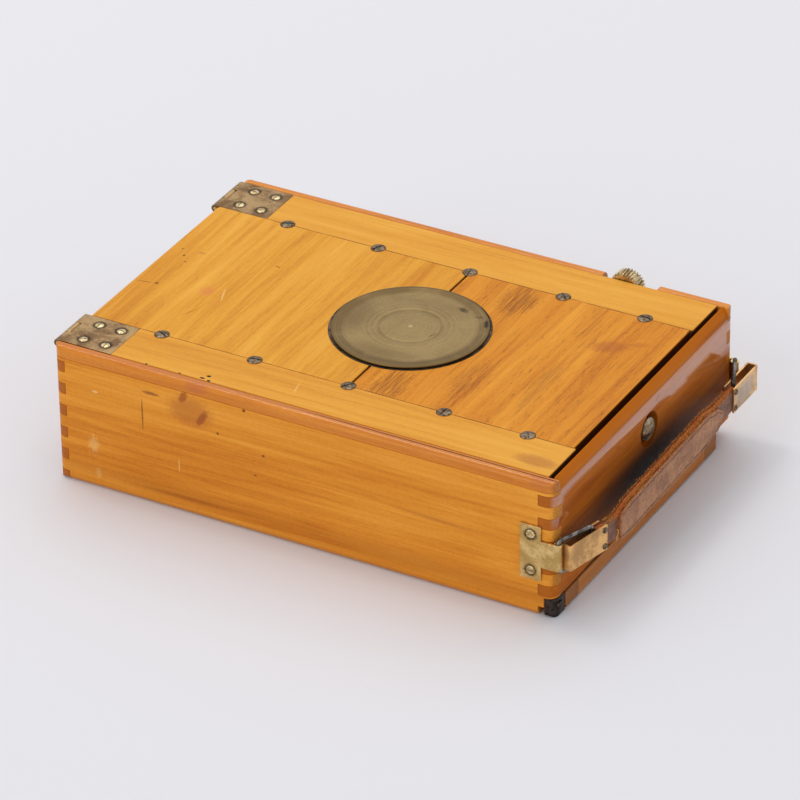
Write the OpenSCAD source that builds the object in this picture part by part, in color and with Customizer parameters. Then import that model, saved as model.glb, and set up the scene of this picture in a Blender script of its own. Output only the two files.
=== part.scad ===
// Closed half-plate folding camera in polished hardwood with brass fittings, lying on its back.
// The origin is the centre of the body's underside: +X to the handle end, +Y to the focusing knob, +Z up.
// The lens looks along +Z, through the bed that closes the top.

/* [Body] */
// Length of the body, hinge end to handle end
body_l = 220; // [214:0.5:226]
// Width of the body over the side walls
body_w = 152.6; // [150:0.2:158]
// Height of the body
body_h = 60; // [59:0.5:63]
// Thickness of the two side walls
side_t = 6; // [5.5:0.1:6.5]
// Thickness of the hinge end wall
hinge_wall_t = 5; // [4.5:0.1:5.5]
// Thickness of the handle end wall
handle_wall_t = 7; // [6.6:0.1:7.4]
// Radius of the four upright corners
corner_r = 4; // [2:0.5:4.5]
// Radius of the lower long edges
foot_r = 2.5; // [1:0.5:3]
// Height of one finger of the comb joints
finger_h = 4.8; // [4:0.1:5.4]
// Step from one finger to the next
finger_pitch = 9.95; // [9.4:0.05:10.4]
// Width of the bead along each side
bead_w = 4.8; // [4.4:0.1:5.2]
// Height of the bead
bead_h = 4.7; // [4:0.1:5.4]
// Height of the bevel on the handle end wall
bevel_h = 4.4; // [3:0.2:5]
// Depth of the bevel on the handle end wall
bevel_d = 2.8; // [2:0.1:2.9]

/* [Bed] */
// Thickness of the bed's boards
bed_t = 8; // [7.8:0.1:8.4]
// Width of one bed rail
bed_rail_w = 22.1; // [20:0.1:23]
// Width of the tongue of the panels over the rails' lips
bed_lap = 5; // [4:0.5:6]
// Gap between the bed and the beads
bed_gap = 0.2; // [0.15:0.05:0.4]
// Gap between the rails' ends and the handle end wall
bed_end_gap = 2.2; // [1.5:0.1:3]
// Step of the right panel behind the rails' ends
panel_step = 1; // [0:0.5:3]
// Gap between the two panels
panel_gap = 1; // [0.6:0.1:1.4]
// Radius of the heads of the bed's screws
bed_screw_r = 3; // [2.6:0.1:3.4]

/* [Hinges] */
// Length of one hinge along its pin
hinge_w = 22; // [20:0.2:22.2]
// Length of the hinge plate on the bed
hinge_plate_l = 24.3; // [22:0.1:28]
// Thickness of the hinge brass
hinge_brass_t = 1.2; // [1:0.1:1.4]
// Radius of the hinge knuckles
knuckle_r = 1.7; // [1.5:0.1:1.8]
// Radius of the hinge pins
hinge_pin_r = 0.8; // [0.6:0.05:0.9]
// Height of the hinge leaf on the end wall
hinge_leaf_h = 17; // [14:0.5:20]
// Radius of the heads of the hinge screws
plate_screw_r = 2; // [1.6:0.1:2.3]

/* [Lens cap and lens opening] */
// Radius of the lens opening's ring
cap_ring_r = 32.15; // [31.5:0.05:33]
// Radius of the lens cap
cap_r = 30.25; // [29.5:0.05:30.8]
// How far the cap stands proud of the bed
cap_proud = 1; // [0.5:0.1:2]
// Thickness of the cap's brass
cap_t = 1.1; // [0.8:0.1:1.4]
// Distance of the lens axis from the body's middle
lens_x = 6.8; // [5.5:0.1:8]

/* [Focusing] */
// Distance of the pinion shaft from the body's middle
pinion_x = 64; // [62:0.1:65.5]
// Height of the pinion shaft
pinion_z = 56; // [55.9:0.05:56.2]
// Radius of the pinion shaft
shaft_r = 1.5; // [1.2:0.1:1.7]
// Radius of the focusing knob
knob_r = 6.9; // [6.5:0.1:7.4]
// Width of the focusing knob
knob_w = 5.7; // [4.5:0.1:7]
// Number of flutes on the focusing knob
knob_flutes = 30; // [24:1:36]
// Number of teeth on each pinion
pinion_teeth = 10; // [10:1:10]
// Tooth module of the pinions and racks
gear_module = 0.5; // [0.5:0.05:0.5]
// Length of the focusing track
track_l = 153; // [146:0.5:153]
// Thickness of the focusing track
track_t = 4; // [3.6:0.1:4.3]
// Width of one runner of the focusing track
runner_w = 13; // [12:0.5:14]
// Inner half-width of the focusing track
track_in = 31; // [30.5:0.1:31.5]

/* [Stays] */
// Length of one stay between its pins
stay_l = 95; // [92:0.5:97]
// Width of one stay
stay_w = 6; // [5:0.5:6.5]
// Thickness of one stay
stay_t = 1.2; // [1:0.1:1.4]

/* [Standard and lens] */
// Half-width of the standard's frame
standard_half = 58; // [56:0.5:60]
// Thickness of the standard's frame
standard_t = 9; // [8.6:0.1:9.6]
// Side of the square lens board
board_l = 99; // [96:0.5:100]
// Thickness of the lens board
board_t = 4; // [3.6:0.1:4.4]
// Rise or fall of the lens board from its middle
rise = 6; // [4:0.5:6.5]
// Radius of the shutter case
shutter_r = 27.5; // [27:0.1:28]
// Height of the shutter case
shutter_h = 8.5; // [8:0.1:8.6]
// Radius of the lens barrel
barrel_r = 21; // [20.5:0.1:21.4]
// Height of the lens barrel
barrel_h = 9.8; // [9.4:0.1:10]
// Number of folds in the bellows
bellows_folds = 5; // [3:1:6]
// Depth of the bellows' folds
fold_d = 8; // [6:0.5:9]

/* [Focusing screen] */
// Length of the ground glass
glass_l = 165.1; // [160:0.1:166]
// Width of the ground glass
glass_w = 120.65; // [118:0.05:122]
// Thickness of the ground glass
glass_t = 2; // [1.6:0.1:2.2]
// Width of the sliding screen frame
screen_w = 129; // [127:0.5:130]
// Thickness of the sliding screen frame
screen_t = 6.8; // [6.4:0.1:6.9]
// How far the screen frame lies off the body's middle, towards the near side
screen_off = 3; // [2:0.1:3.2]

/* [Button and latch] */
// Place of the push-button across the handle end wall
button_y = 2.8; // [-4:0.2:8]
// Height of the push-button
button_z = 41.6; // [41:0.1:42]
// Radius of the push-button
button_r = 4.8; // [4.4:0.1:5.2]
// Radius of the recess round the push-button
recess_r = 7.2; // [6.8:0.1:7.6]
// Travel of the push-button
button_travel = 2.5; // [2:0.1:2.6]

/* [Handle] */
// Height of the anchors' and the strap's middle
handle_z = 28.3; // [27:0.1:29.5]
// Height of the anchor plates' flanges
anchor_h = 24; // [22:0.5:26]
// Width of the anchor plates' flanges
anchor_w = 8.9; // [8:0.1:10]
// Height of the anchor plates' necks and knuckles
neck_h = 11.6; // [10.8:0.1:12]
// Radius of the wire links
wire_r = 0.9; // [0.7:0.05:0.95]
// Length of one wire link between its uprights
link_l = 17; // [16.6:0.1:17.2]
// Height of one strap clip
clip_h = 11; // [10.6:0.1:11.6]
// Length of one strap clip
clip_l = 21.4; // [21:0.1:22.5]
// Turn of the near clip, in from the strap
clip_turn = 13.6; // [12.5:0.1:14.5]
// Height of the leather strap
strap_h = 16; // [14:0.5:18]
// Thickness of the base leather
strap_t = 2.8; // [2.4:0.1:3]
// Thickness of the sewn outer leather
pad_t = 1.4; // [1:0.1:1.8]
// Radius of the strap's bend where it leaves the near clip
strap_bend_r = 42; // [30:1:50]
// Inward lean of the strap towards the far clip
strap_lean = 1.1; // [0.9:0.1:1.3]

/* [Hidden] */
$fn = 64;

// Half sizes and the faces that everything else is set from
half_l = body_l / 2;
half_w = body_w / 2;
inner_y = half_w - side_t;
inner_x0 = -half_l + hinge_wall_t;
inner_x1 = half_l - handle_wall_t;
bead_z = body_h - bead_h;
rebate_y = half_w - bead_w;
bed_half = rebate_y - bed_gap;
bed_top = body_h - 0.1;
bed_z = bed_top - bed_t;
rebate_z = bed_z - 0.3;
lip_x = half_l - bevel_d;
overlap = 1;
clear = 0.3;
hair = 0.05;
fit = 0.05;

// Comb joints: fingers of the end walls are counted down from the top one
finger_top = 53.9;
finger_count = 6;

// Bed
bed_x1 = lip_x - bed_end_gap;
panel_x1 = bed_x1 - panel_step;
seam_y = bed_half - bed_rail_w;
bed_lip_t = 3.5;
bed_screw_xs = [-76.6, -34.8, lens_x, 48.5, 84.5];
bed_screw_shank = 1.2;
bed_screw_l = 5;
bed_edge_r = 2.5;

// Hinges
axis_x = -half_l - 0.8;
axis_z = bed_top - knuckle_r;
hinge_y1 = bed_half;
hinge_y0 = bed_half - hinge_w;
knuckle_mid_w = 7.6;
knuckle_gap = 0.2;
hinge_mid = (hinge_y0 + hinge_y1) / 2;
plate_x1 = axis_x + hinge_plate_l;
bed_hinge_x = -half_l + hinge_brass_t + clear + 0.1;
leaf_top = axis_z - knuckle_r - clear;
plate_screw_dx = 5;
wall_screw_l = 4.2;
plate_screw_l = 5;
screw_core = 0.9;
screw_slot_w = 0.6;
screw_slot_d = 0.4;
screw_crown = 0.2;
plate_screw_dy = 6;

// Lens opening
ring_in = cap_r + 0.15;
cap_lip = 0.85;
ring_ledge_r = cap_r - 1.6;
cap_skirt_z = bed_z + 2.8;

// Focusing
pitch_r = gear_module * pinion_teeth / 2;
rack_pitch = PI * gear_module;
rack_pitch_z = pinion_z - pitch_r;
gear_add = 0.45;
gear_ded = 0.62;
rack_add = 0.28;
rack_ded = 0.6;
pressure = 20;
tooth_share = 0.42;
track_top = bed_z - clear;
track_z = track_top - track_t;
track_x0 = -86;
track_x1 = track_x0 + track_l;
track_out = track_in + runner_w;
rack_y = track_in + 7;
rack_w = 4;
rack_l = 41;
rack_groove_top = rack_pitch_z + rack_add + clear;
crossbar_w = 10;
crossbar_back_w = 16;
crossbar_x = lens_x + cap_ring_r + 1;
guide_w = 4.7;
guide_lip = 3;
guide_lip_t = 1.3;
guide_clear = 0.3;
guide_x1 = pinion_x - 4;
shaft_y0 = -rack_y - 6;
bearing_half = 3.9;
bearing_y = rack_y + rack_w / 2 + 0.5;
bearing_t = 1.4;
bearing_over = 2.5;
knob_y0 = bed_half + 0.4;
knob_bore_r = shaft_r;
finger_room = 4.6;
notch_ramp_z = pinion_z - knob_r - 0.6;
notch_z = notch_ramp_z - finger_room;
notch_x0 = pinion_x - knob_r - 2.6;
notch_x1 = pinion_x + knob_r + 2.6;
notch_ramp = 5;
notch_y = inner_y - overlap;

// Stays
stay_x = -40;
stay_z = bed_z - 3.4;
stay_slot_z = 45;
stay_y = inner_y - 3.1;
stay_dz = stay_z - stay_slot_z;
stay_angle = asin(stay_dz / stay_l);
stay_pin_r = 1.2;
stay_guide_t = 1;
stay_slot_x0 = -60;
stay_slot_x1 = 58;
stay_slot_half = 1.6;
stay_slot_edge = 3.6;
bracket_half = 5;
bracket_w = 6.7;
bracket_drop = 2.6;
stay_end_r = 1.4;
stay_head_t = 0.6;

// Screen slide
screen_z = 0.8;
screen_top = screen_z + screen_t;
screen_y0 = -screen_off - screen_w / 2;
screen_y1 = -screen_off + screen_w / 2;
screen_x0 = inner_x0 + 0.5;
screen_x1 = half_l + 0.3;
slide_lip_z = 2;
slide_lip_w = 2.5;
wall_foot_z = screen_top + 0.8;
stile_w = 10.5;
window_l = glass_l - 9;
window_w = screen_w - 2 * stile_w;
clip_plate_t = 0.8;
glass_z = screen_z + 0.6 + clip_plate_t;
foot_cut_x = half_l - 4.5;

// Back frame, bellows and standard
frame_z = screen_top + 0.4;
frame_t = 4;
bellows_z = frame_z + frame_t;
bellows_top = 23.5;
bellows_rear = [window_l + 8, window_w + 10];
bellows_front = [106, 106];
bellows_wall = 4;
front_frame_t = 1.5;
standard_z = bellows_top + front_frame_t;
standard_x0 = -92;
standard_x1 = lens_x + board_l / 2 + rise + 10;
groove_d = 3.8;
standard_hole = 40;
board_z = standard_z + (standard_t - board_t) / 2;
board_half = board_l / 2;
upright_in = board_half + clear - groove_d;
board_top = board_z + board_t;
flange_r = 31;
flange_t = 1.6;
shutter_z = board_top + flange_t;
shutter_top = shutter_z + shutter_h;
case_wall = 1.6;
blade_t = 0.8;
blade_z0 = shutter_z + 2.6;
blade_z1 = blade_z0 + blade_t + 0.4;
blade_pivot = 20;
aperture_r = 8;
blade_r = 10;
lever_z = blade_z1 + blade_t + 0.5;
lever_t = 1;
barrel_z = shutter_top;
barrel_top = barrel_z + barrel_h;
barrel_wall = 1.5;
web_t = 0.9;
wheel_z = barrel_z + web_t + 0.2;
wheel_t = 1;
wheel_r = 17;
wheel_pitch = 12;
stops = [7, 5.2, 3.8, 2.7, 1.9];
rear_r = 17;
rear_z = standard_z - 4;
body_rail_t = 4.7;
body_rail_x = inner_x0 + body_rail_t;
foot_t = 2;

// Latch
stem_r = 1.6;
guide_x = inner_x1 - 7;
latch_z = button_z + 4.6;
button_proud = 1.2;
latch_t = 1.2;
latch_x0 = 81;
tab_x0 = guide_x - 3.8;
tab_t = 1.2;
hook_x = 86.2;
hook_t = 1.2;
nose_l = 1.2;
spring_r = 2.7;
spring_wire = 0.3;
spring_turns = 4;

// Handle
plate_t = 1;
anchor_r = 1.7;
anchor_x1 = half_l - 5.3;
anchor_screw_x = anchor_x1 - anchor_w / 2;
anchor_screw_dz = anchor_h / 2 - 4;
pivot_x = half_l + 1.2;
pivot_y = half_w + plate_t - anchor_r;
leaf_t = 0.8;
clip_half = 2.4;
fold_r = 0.9;
near_fold = [half_l + 3.8, -half_w + 1.7];
far_fold = [half_l + 8, half_w + 1.3];
strap_straight = body_w - 53.1;
cover_h = strap_h - 2;
link_half = clip_h / 2 + wire_r + 0.5;
near_pin_u = near_pin(13, 17);
far_pin_y = pivot_y - sqrt(link_l * link_l - pow(far_fold[0] - pivot_x, 2));

// Places along the strap, from the body's near and far sides
function from_near(d) = d - half_w;
function from_far(d) = half_w - d;
near_full = from_near(40.3);
far_full = from_far(46.3);
near_neck = from_near(28.3);
far_neck = from_far(32.3);
near_point_y = from_near(25.3);
far_point_y = from_far(30.3);

// Finds how far along the near clip the link's upright lies, by halving
function near_point(u) = [near_fold[0] + u * sin(clip_turn), near_fold[1] + u * cos(clip_turn)];
function near_gap(u) = norm(near_point(u) - [pivot_x, -pivot_y]) - link_l;
function near_pin(lo, hi, n = 20) =
  n == 0 ? (lo + hi) / 2
  : near_gap((lo + hi) / 2) > 0 ? near_pin(lo, (lo + hi) / 2, n - 1)
  : near_pin((lo + hi) / 2, hi, n - 1);

// A block between two corners
module block(x, y, z) {
  translate([x[0], y[0], z[0]])
    cube([x[1] - x[0], y[1] - y[0], z[1] - z[0]]);
}

// Rods along the three axes
module rod_x(x, y, z, r) {
  translate([x[0], y, z])
    rotate([0, 90, 0])
      cylinder(h = x[1] - x[0], r = r);
}

module rod_y(x, y, z, r) {
  translate([x, y[0], z])
    rotate([-90, 0, 0])
      cylinder(h = y[1] - y[0], r = r);
}

module rod_z(x, y, z, r) {
  translate([x, y, z[0]])
    cylinder(h = z[1] - z[0], r = r);
}

module both_sides() {
  children();
  mirror([0, 1, 0])
    children();
}

// The sliver between a square corner and its rounding, in the plane, at the origin's corner
module corner_sliver(r) {
  difference() {
    translate([-overlap, -overlap])
      square(r + overlap);
    translate([r, r])
      circle(r = r);
  }
}

// Plan of the body with its rounded corners
module body_plan() {
  square([body_l - 2 * corner_r, body_w], center = true);
  square([body_l, body_w - 2 * corner_r], center = true);
  for (sx = [-1, 1], sy = [-1, 1])
    translate([sx * (half_l - corner_r), sy * (half_w - corner_r)])
      circle(r = corner_r);
}

// The body's outer form: rounded upright corners and rounded lower long edges
module body_form() {
  difference() {
    linear_extrude(body_h)
      body_plan();
    both_sides()
      translate([-half_l - overlap, -half_w, 0])
        rotate([90, 0, 90])
          linear_extrude(body_l + 2 * overlap)
            corner_sliver(foot_r);
  }
}

// The fingers of an end wall between two X faces
module wall_fingers(x) {
  for (k = [0:finger_count - 1])
    let (top = finger_top - k * finger_pitch)
      block(x, [-half_w, half_w], [max(0, top - finger_h), top]);
}

// Where the screen slide comes out, the walls stop short of the foot
module slide_mouth() {
  block([foot_cut_x, half_l + overlap], [-half_w - overlap, half_w + overlap], [-overlap, wall_foot_z]);
}

module side_wall() {
  difference() {
    intersection() {
      body_form();
      block([-half_l, half_l], [-half_w, -inner_y], [0, bead_z]);
    }
    block([-half_l - overlap, half_l + overlap], [-rebate_y, 0], [rebate_z, bead_z + overlap]);
    wall_fingers([-half_l - overlap, inner_x0]);
    difference() {
      wall_fingers([inner_x1, half_l + overlap]);
      slide_mouth();
    }
    slide_mouth();
    mirror([0, 1, 0])
      hinge_leaf_pocket();
    for (dz = [-1, 1])
      rod_y(anchor_screw_x, [-half_w - overlap, -inner_y + 0.5], handle_z + dz * anchor_screw_dz, screw_core);
  }
}

module front_side_wall() {
  color("peru")
    side_wall();
}

module back_side_wall() {
  color("peru")
    difference() {
      mirror([0, 1, 0])
        side_wall();
      knob_notch();
    }
}

// The opening for the knob in the back wall and bead, with a ramp at its right end
module knob_notch() {
  translate([0, half_w + overlap, 0])
    rotate([90, 0, 0])
      linear_extrude(half_w + overlap - notch_y)
        polygon([
          [notch_x0, body_h + overlap],
          [notch_x0, notch_z],
          [notch_x1, notch_z],
          [notch_x1, notch_ramp_z],
          [notch_x1 + notch_ramp, body_h],
          [notch_x1 + notch_ramp, body_h + overlap]
        ]);
}

module hinge_end_wall() {
  color("peru")
    difference() {
      intersection() {
        body_form();
        union() {
          block([-half_l, inner_x0], [-inner_y, inner_y], [0, rebate_z]);
          wall_fingers([-half_l, inner_x0]);
        }
      }
      block([-half_l - overlap, 0], [-rebate_y, rebate_y], [rebate_z, body_h]);
      both_sides() {
        hinge_leaf_pocket();
        for (dy = [-1, 1])
          leaf_screw_at(dy)
            cylinder(h = 2 * hinge_wall_t - 1, r = screw_core, center = true);
      }
    }
}

// The recess that a hinge leaf is let into
module hinge_leaf_pocket() {
  block(
    [-half_l - overlap, -half_l + hinge_brass_t],
    [hinge_y0 - hair, hinge_y1 + hair],
    [leaf_top - hinge_leaf_h - hair, bead_z]
  );
}

// A screw's place on the outer face of the hinge end wall, with +Z pointing into the wood
module leaf_screw_at(dy) {
  translate([-half_l, hinge_mid + dy * plate_screw_dy, leaf_top - hinge_leaf_h + 5])
    rotate([0, 90, 0])
      children();
}

// The handle end wall, open below for the screen slide, bored for the push-button
module handle_end_wall() {
  color("chocolate")
    difference() {
      intersection() {
        body_form();
        union() {
          block([inner_x1, half_l], [-inner_y, inner_y], [wall_foot_z, rebate_z]);
          block([lip_x, half_l], [-rebate_y, rebate_y], [rebate_z, body_h]);
          difference() {
            wall_fingers([inner_x1, half_l]);
            block([0, half_l + overlap], [-half_w - overlap, half_w + overlap], [-overlap, wall_foot_z]);
          }
        }
      }
      block([inner_x1 - overlap, lip_x], [-rebate_y, rebate_y], [rebate_z, body_h + overlap]);
      translate([0, half_w + overlap, 0])
        rotate([90, 0, 0])
          linear_extrude(body_w + 2 * overlap)
            polygon([
              [half_l - bevel_d + 0.4, body_h + overlap],
              [half_l - bevel_d + 0.4, body_h],
              [half_l, body_h - bevel_h],
              [half_l + overlap, body_h - bevel_h],
              [half_l + overlap, body_h + overlap]
            ]);
      rod_x([inner_x1 - overlap, half_l], button_y, button_z, button_r + fit);
      rod_x([half_l - 4, half_l + overlap], button_y, button_z, recess_r);
    }
}

// The rounded strips glued along the top of the side walls
module side_beads() {
  color("burlywood") {
    bead();
    difference() {
      mirror([0, 1, 0])
        bead();
      knob_notch();
    }
  }
}

module bead() {
  outer_r = bead_w * 0.6;
  inner_r = bead_w * 0.2;
  intersection() {
    body_form();
    translate([-half_l, -half_w, bead_z])
      rotate([90, 0, 90])
        linear_extrude(body_l)
          difference() {
            square([bead_w, bead_h]);
            translate([0, bead_h])
              mirror([0, 1])
                corner_sliver(outer_r);
            translate([bead_w, bead_h])
              rotate(180)
                corner_sliver(inner_r);
          }
  }
}

// Grooved strips that carry the sliding focusing screen
module slide_runners() {
  color("sienna")
    for (side = [[-inner_y, screen_y0 - clear], [screen_y1 + clear, inner_y]])
      let (lip = side[0] < 0 ? [side[0], side[1] + slide_lip_w] : [side[0] - slide_lip_w, side[1]])
        union() {
          block([inner_x0, foot_cut_x], side, [0, frame_z]);
          block([inner_x0, foot_cut_x], lip, [0, slide_lip_z]);
        }
}

// Blackened brass shoe with its screw, let into the near corner beside the slide's mouth
module corner_shoe() {
  shoe_y = [-half_w + 0.6, screen_y0 - clear];
  color("dimgray") {
    intersection() {
      body_form();
      block([foot_cut_x, half_l], shoe_y, [0, wall_foot_z - 0.2]);
    }
    translate([half_l, (shoe_y[0] + shoe_y[1]) / 2, wall_foot_z / 2])
      rotate([0, 90, 0]) {
        translate([0, 0, -overlap])
          cylinder(h = overlap + 0.6, r = 2.1);
        translate([0, 0, 0.6])
          cylinder(h = 0.5, r1 = 2.1, r2 = 1.4);
      }
  }
}

// Fixed wooden frame that closes the back of the bellows
module back_frame() {
  color("saddlebrown")
    difference() {
      block([inner_x0, inner_x1], [-inner_y, inner_y], [frame_z, frame_z + frame_t]);
      window(frame_z - overlap, frame_z + frame_t + overlap);
    }
}

module window(z0, z1) {
  block(
    [lens_x - window_l / 2, lens_x + window_l / 2],
    [-screen_off - window_w / 2, -screen_off + window_w / 2],
    [z0, z1]
  );
}

// The rebate that the ground glass lies in, open below
module glass_seat() {
  block(
    [lens_x - glass_l / 2 - 0.1, lens_x + glass_l / 2 + 0.1],
    [-screen_off - glass_w / 2 - 0.1, -screen_off + glass_w / 2 + 0.1],
    [0, glass_z + glass_t]
  );
}

module screen_stiles() {
  color("sandybrown")
    difference() {
      union() {
        block([screen_x0, screen_x1], [screen_y0, screen_y0 + stile_w], [screen_z, screen_top]);
        block([screen_x0, screen_x1], [screen_y1 - stile_w, screen_y1], [screen_z, screen_top]);
      }
      glass_seat();
      for (lip = [[-half_w, screen_y0 + slide_lip_w], [screen_y1 - slide_lip_w, half_w]])
        block([-half_l, foot_cut_x + clear], lip, [0, slide_lip_z + clear]);
    }
}

module screen_rails() {
  rail_y = [screen_y0 + stile_w, screen_y1 - stile_w];
  color("sandybrown")
    difference() {
      union() {
        block([screen_x0, lens_x - window_l / 2], rail_y, [screen_z, screen_top]);
        block([lens_x + window_l / 2, screen_x1], rail_y, [screen_z, screen_top]);
      }
      glass_seat();
      at_glass_clips()
        block([-clip_reach - clear, clip_back + clear], (clip_plate_half + clear) * [-1, 1], [0, glass_z]);
    }
}

// Clips of the ground glass
clip_reach = 7;
clip_back = 4;
clip_plate_half = 3;
clip_pin_r = 1.8;
clip_gap = 4.1;
clip_ys = [-40, 34];

// The four places beside the glass, with +X pointing away from it
module at_glass_clips() {
  for (side = [0, 1], y = clip_ys)
    translate([lens_x, y, 0])
      mirror([side, 0, 0])
        translate([glass_l / 2 + clip_gap, 0, 0])
          children();
}

module ground_glass() {
  color("gainsboro", 0.6)
    block(
      [lens_x - glass_l / 2, lens_x + glass_l / 2],
      [-screen_off - glass_w / 2, -screen_off + glass_w / 2],
      [glass_z, glass_z + glass_t]
    );
}

// Four brass turn-buttons that hold the glass from behind
module glass_clips() {
  color("goldenrod")
    at_glass_clips() {
      block([-clip_reach, clip_back], [-clip_plate_half, clip_plate_half], [glass_z - clip_plate_t, glass_z]);
      rod_z(0, 0, [glass_z - clip_plate_t - 0.4, glass_z], clip_pin_r);
    }
}

// The middle third of a hinge's knuckles, which belongs to the leaf on the wall
function knuckle_mid() = [hinge_mid - knuckle_mid_w / 2, hinge_mid + knuckle_mid_w / 2];

// The leaves on the hinge end wall, with the middle knuckles
module hinge_leaves() {
  mid = knuckle_mid();
  leaf_x1 = -half_l + hinge_brass_t - hair;
  color("goldenrod")
    both_sides() {
      difference() {
        union() {
          block([-half_l, leaf_x1], [hinge_y0, hinge_y1], [leaf_top - hinge_leaf_h, leaf_top]);
          block([-half_l, leaf_x1 - clear], mid, [leaf_top, axis_z]);
          rod_y(axis_x, mid, axis_z, knuckle_r);
        }
        rod_y(axis_x, [mid[0] - overlap, mid[1] + overlap], axis_z, hinge_pin_r + 0.01);
        for (dy = [-1, 1])
          leaf_screw_at(dy)
            translate([0, 0, -hair])
              cylinder(h = hinge_brass_t + hair, r1 = plate_screw_r, r2 = screw_core);
      }
    }
}

// A countersunk screw with a slot, head up at the origin
module screw(head_r, shank_r, length, turn = 0) {
  sink = head_r - shank_r;
  difference() {
    union() {
      translate([0, 0, -sink])
        cylinder(h = sink, r1 = shank_r, r2 = head_r);
      translate([0, 0, -length])
        cylinder(h = length - sink + 0.01, r = shank_r);
      cylinder(h = screw_crown, r1 = head_r, r2 = head_r - 0.5);
    }
    rotate(turn)
      translate([-head_r - overlap, -screw_slot_w / 2, -screw_slot_d])
        cube([2 * head_r + 2 * overlap, screw_slot_w, overlap]);
  }
}

module hinge_pins() {
  color("darkgoldenrod")
    both_sides()
      rod_y(axis_x, [hinge_y0, hinge_y1], axis_z, hinge_pin_r);
}

// Strips on the hinge end wall, in line with the focusing track when the bed is down
module body_rails() {
  color("saddlebrown")
    both_sides()
      block([inner_x0, body_rail_x], [track_in, track_out], [bellows_z, rebate_z - clear]);
}

// A bar along the stays' guides, longer than the slot by some length in all
module stay_guide_bar(extra, half_h, y) {
  block(
    [stay_slot_x0 - extra / 2, stay_slot_x1 + extra / 2],
    y,
    [stay_slot_z - half_h, stay_slot_z + half_h]
  );
}

// Slotted brass guides for the stays' ends
module stay_guides() {
  color("goldenrod")
    both_sides()
      difference() {
        stay_guide_bar(
          2 * stay_slot_edge,
          stay_slot_half + stay_slot_edge / 2,
          [inner_y - stay_guide_t, inner_y]
        );
        stay_guide_bar(0, stay_slot_half, [0, inner_y + overlap]);
      }
}

// The space under the bed's boards for the shaft, pinions, racks and hinge plates
module bed_cuts() {
  rod_y(pinion_x, [shaft_y0 - 0.5, half_w], pinion_z, shaft_r + 0.2);
  block(
    [pinion_x - shaft_r - 0.2, pinion_x + shaft_r + 0.2],
    [shaft_y0 - 0.5, half_w],
    [bed_z - overlap, pinion_z]
  );
  both_sides()
    block(
      [track_x1 - rack_l - 1, panel_x1 + overlap],
      [rack_y - rack_w / 2 - 0.4, rack_y + rack_w / 2 + 0.4],
      [bed_z - overlap, rack_groove_top]
    );
  pinion_y = [rack_y - rack_w / 2 - 0.4, rack_y + rack_w / 2 + 0.4];
  both_sides() {
    rod_y(pinion_x, pinion_y, pinion_z, pitch_r + gear_add + 0.15);
    block(
      [pinion_x - 4, pinion_x + 4],
      [rack_y + rack_w / 2 + 0.4, rack_y + rack_w / 2 + 2],
      [bed_z - overlap, pinion_z + 2.6]
    );
  }
}

// Countersunk holes that straddle the seams between panels and rails
module bed_screw_holes() {
  both_sides()
    for (x = bed_screw_xs)
      translate([x, seam_y, bed_top - 0.1]) {
        translate([0, 0, bed_screw_shank - bed_screw_r])
          cylinder(h = bed_screw_r - bed_screw_shank, r1 = bed_screw_shank + hair, r2 = bed_screw_r + hair);
        cylinder(h = overlap, r = bed_screw_r + hair);
        translate([0, 0, -bed_screw_l - 0.2])
          cylinder(h = bed_screw_l, r = bed_screw_shank + hair);
      }
}

module hinge_plate_pocket() {
  plate_z = [bed_top - hinge_brass_t, body_h + overlap];
  both_sides() {
    block([-half_l - overlap, plate_x1 + hair], [hinge_y0 - 2 * hair, body_w], plate_z);
    block([-half_l - overlap, bed_hinge_x], [hinge_y0 - clear, body_w], [0, body_h + overlap]);
    for (dx = [-1, 1], dy = [-1, 1])
      plate_screw_at(dx, dy, bed_z + 2)
        cylinder(h = bed_t, r = screw_core);
  }
}

// One screw's place on a hinge plate, at some height
module plate_screw_at(dx, dy, z) {
  mid = (plate_x1 + axis_x) / 2 + knuckle_r;
  translate([mid + dx * plate_screw_dx, hinge_mid + dy * plate_screw_dy, z])
    children();
}

// A board of the bed between two X faces, lapping over the rails' lips
module bed_panel(x) {
  past = [x[0] - overlap, x[1] + overlap];
  difference() {
    block(x, [-seam_y - bed_lap, seam_y + bed_lap], [bed_z, bed_top]);
    both_sides() {
      block(past, [seam_y, half_w], [bed_z - overlap, body_h]);
      block(past, [seam_y - bed_lap, half_w], [bed_z - overlap, bed_z + bed_lip_t]);
    }
    rod_z(lens_x, 0, [bed_z - overlap, body_h + overlap], cap_ring_r);
    bed_cuts();
    bed_screw_holes();
    hinge_plate_pocket();
  }
}

module door_panel_left() {
  color("sandybrown")
    difference() {
      bed_panel([-half_l, lens_x - panel_gap / 2]);
      translate([-half_l, -body_w, bed_top])
        rotate([-90, 0, 0])
          linear_extrude(2 * body_w)
            corner_sliver(bed_edge_r);
    }
}

module door_panel_right() {
  color("goldenrod")
    bed_panel([lens_x + panel_gap / 2, panel_x1]);
}

module bed_rail() {
  difference() {
    union() {
      block([-half_l, bed_x1], [seam_y, bed_half], [bed_z, bed_top]);
      block([-half_l, bed_x1 - panel_step], [seam_y - bed_lap, seam_y], [bed_z, bed_z + bed_lip_t]);
    }
    bed_cuts();
    bed_screw_holes();
    hinge_plate_pocket();
    rod_z(lens_x, 0, [bed_z - overlap, body_h + overlap], cap_ring_r);
  }
}

module door_rail_front() {
  color("orange")
    mirror([0, 1, 0])
      bed_rail();
}

module door_rail_back() {
  color("orange")
    bed_rail();
}

module door_screws() {
  color("dimgray")
    for (sy = [-1, 1], i = [0:len(bed_screw_xs) - 1])
      translate([bed_screw_xs[i], sy * seam_y, bed_top - 0.1])
        screw(bed_screw_r, bed_screw_shank, bed_screw_l, 37 * i + 25 * sy);
}

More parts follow.
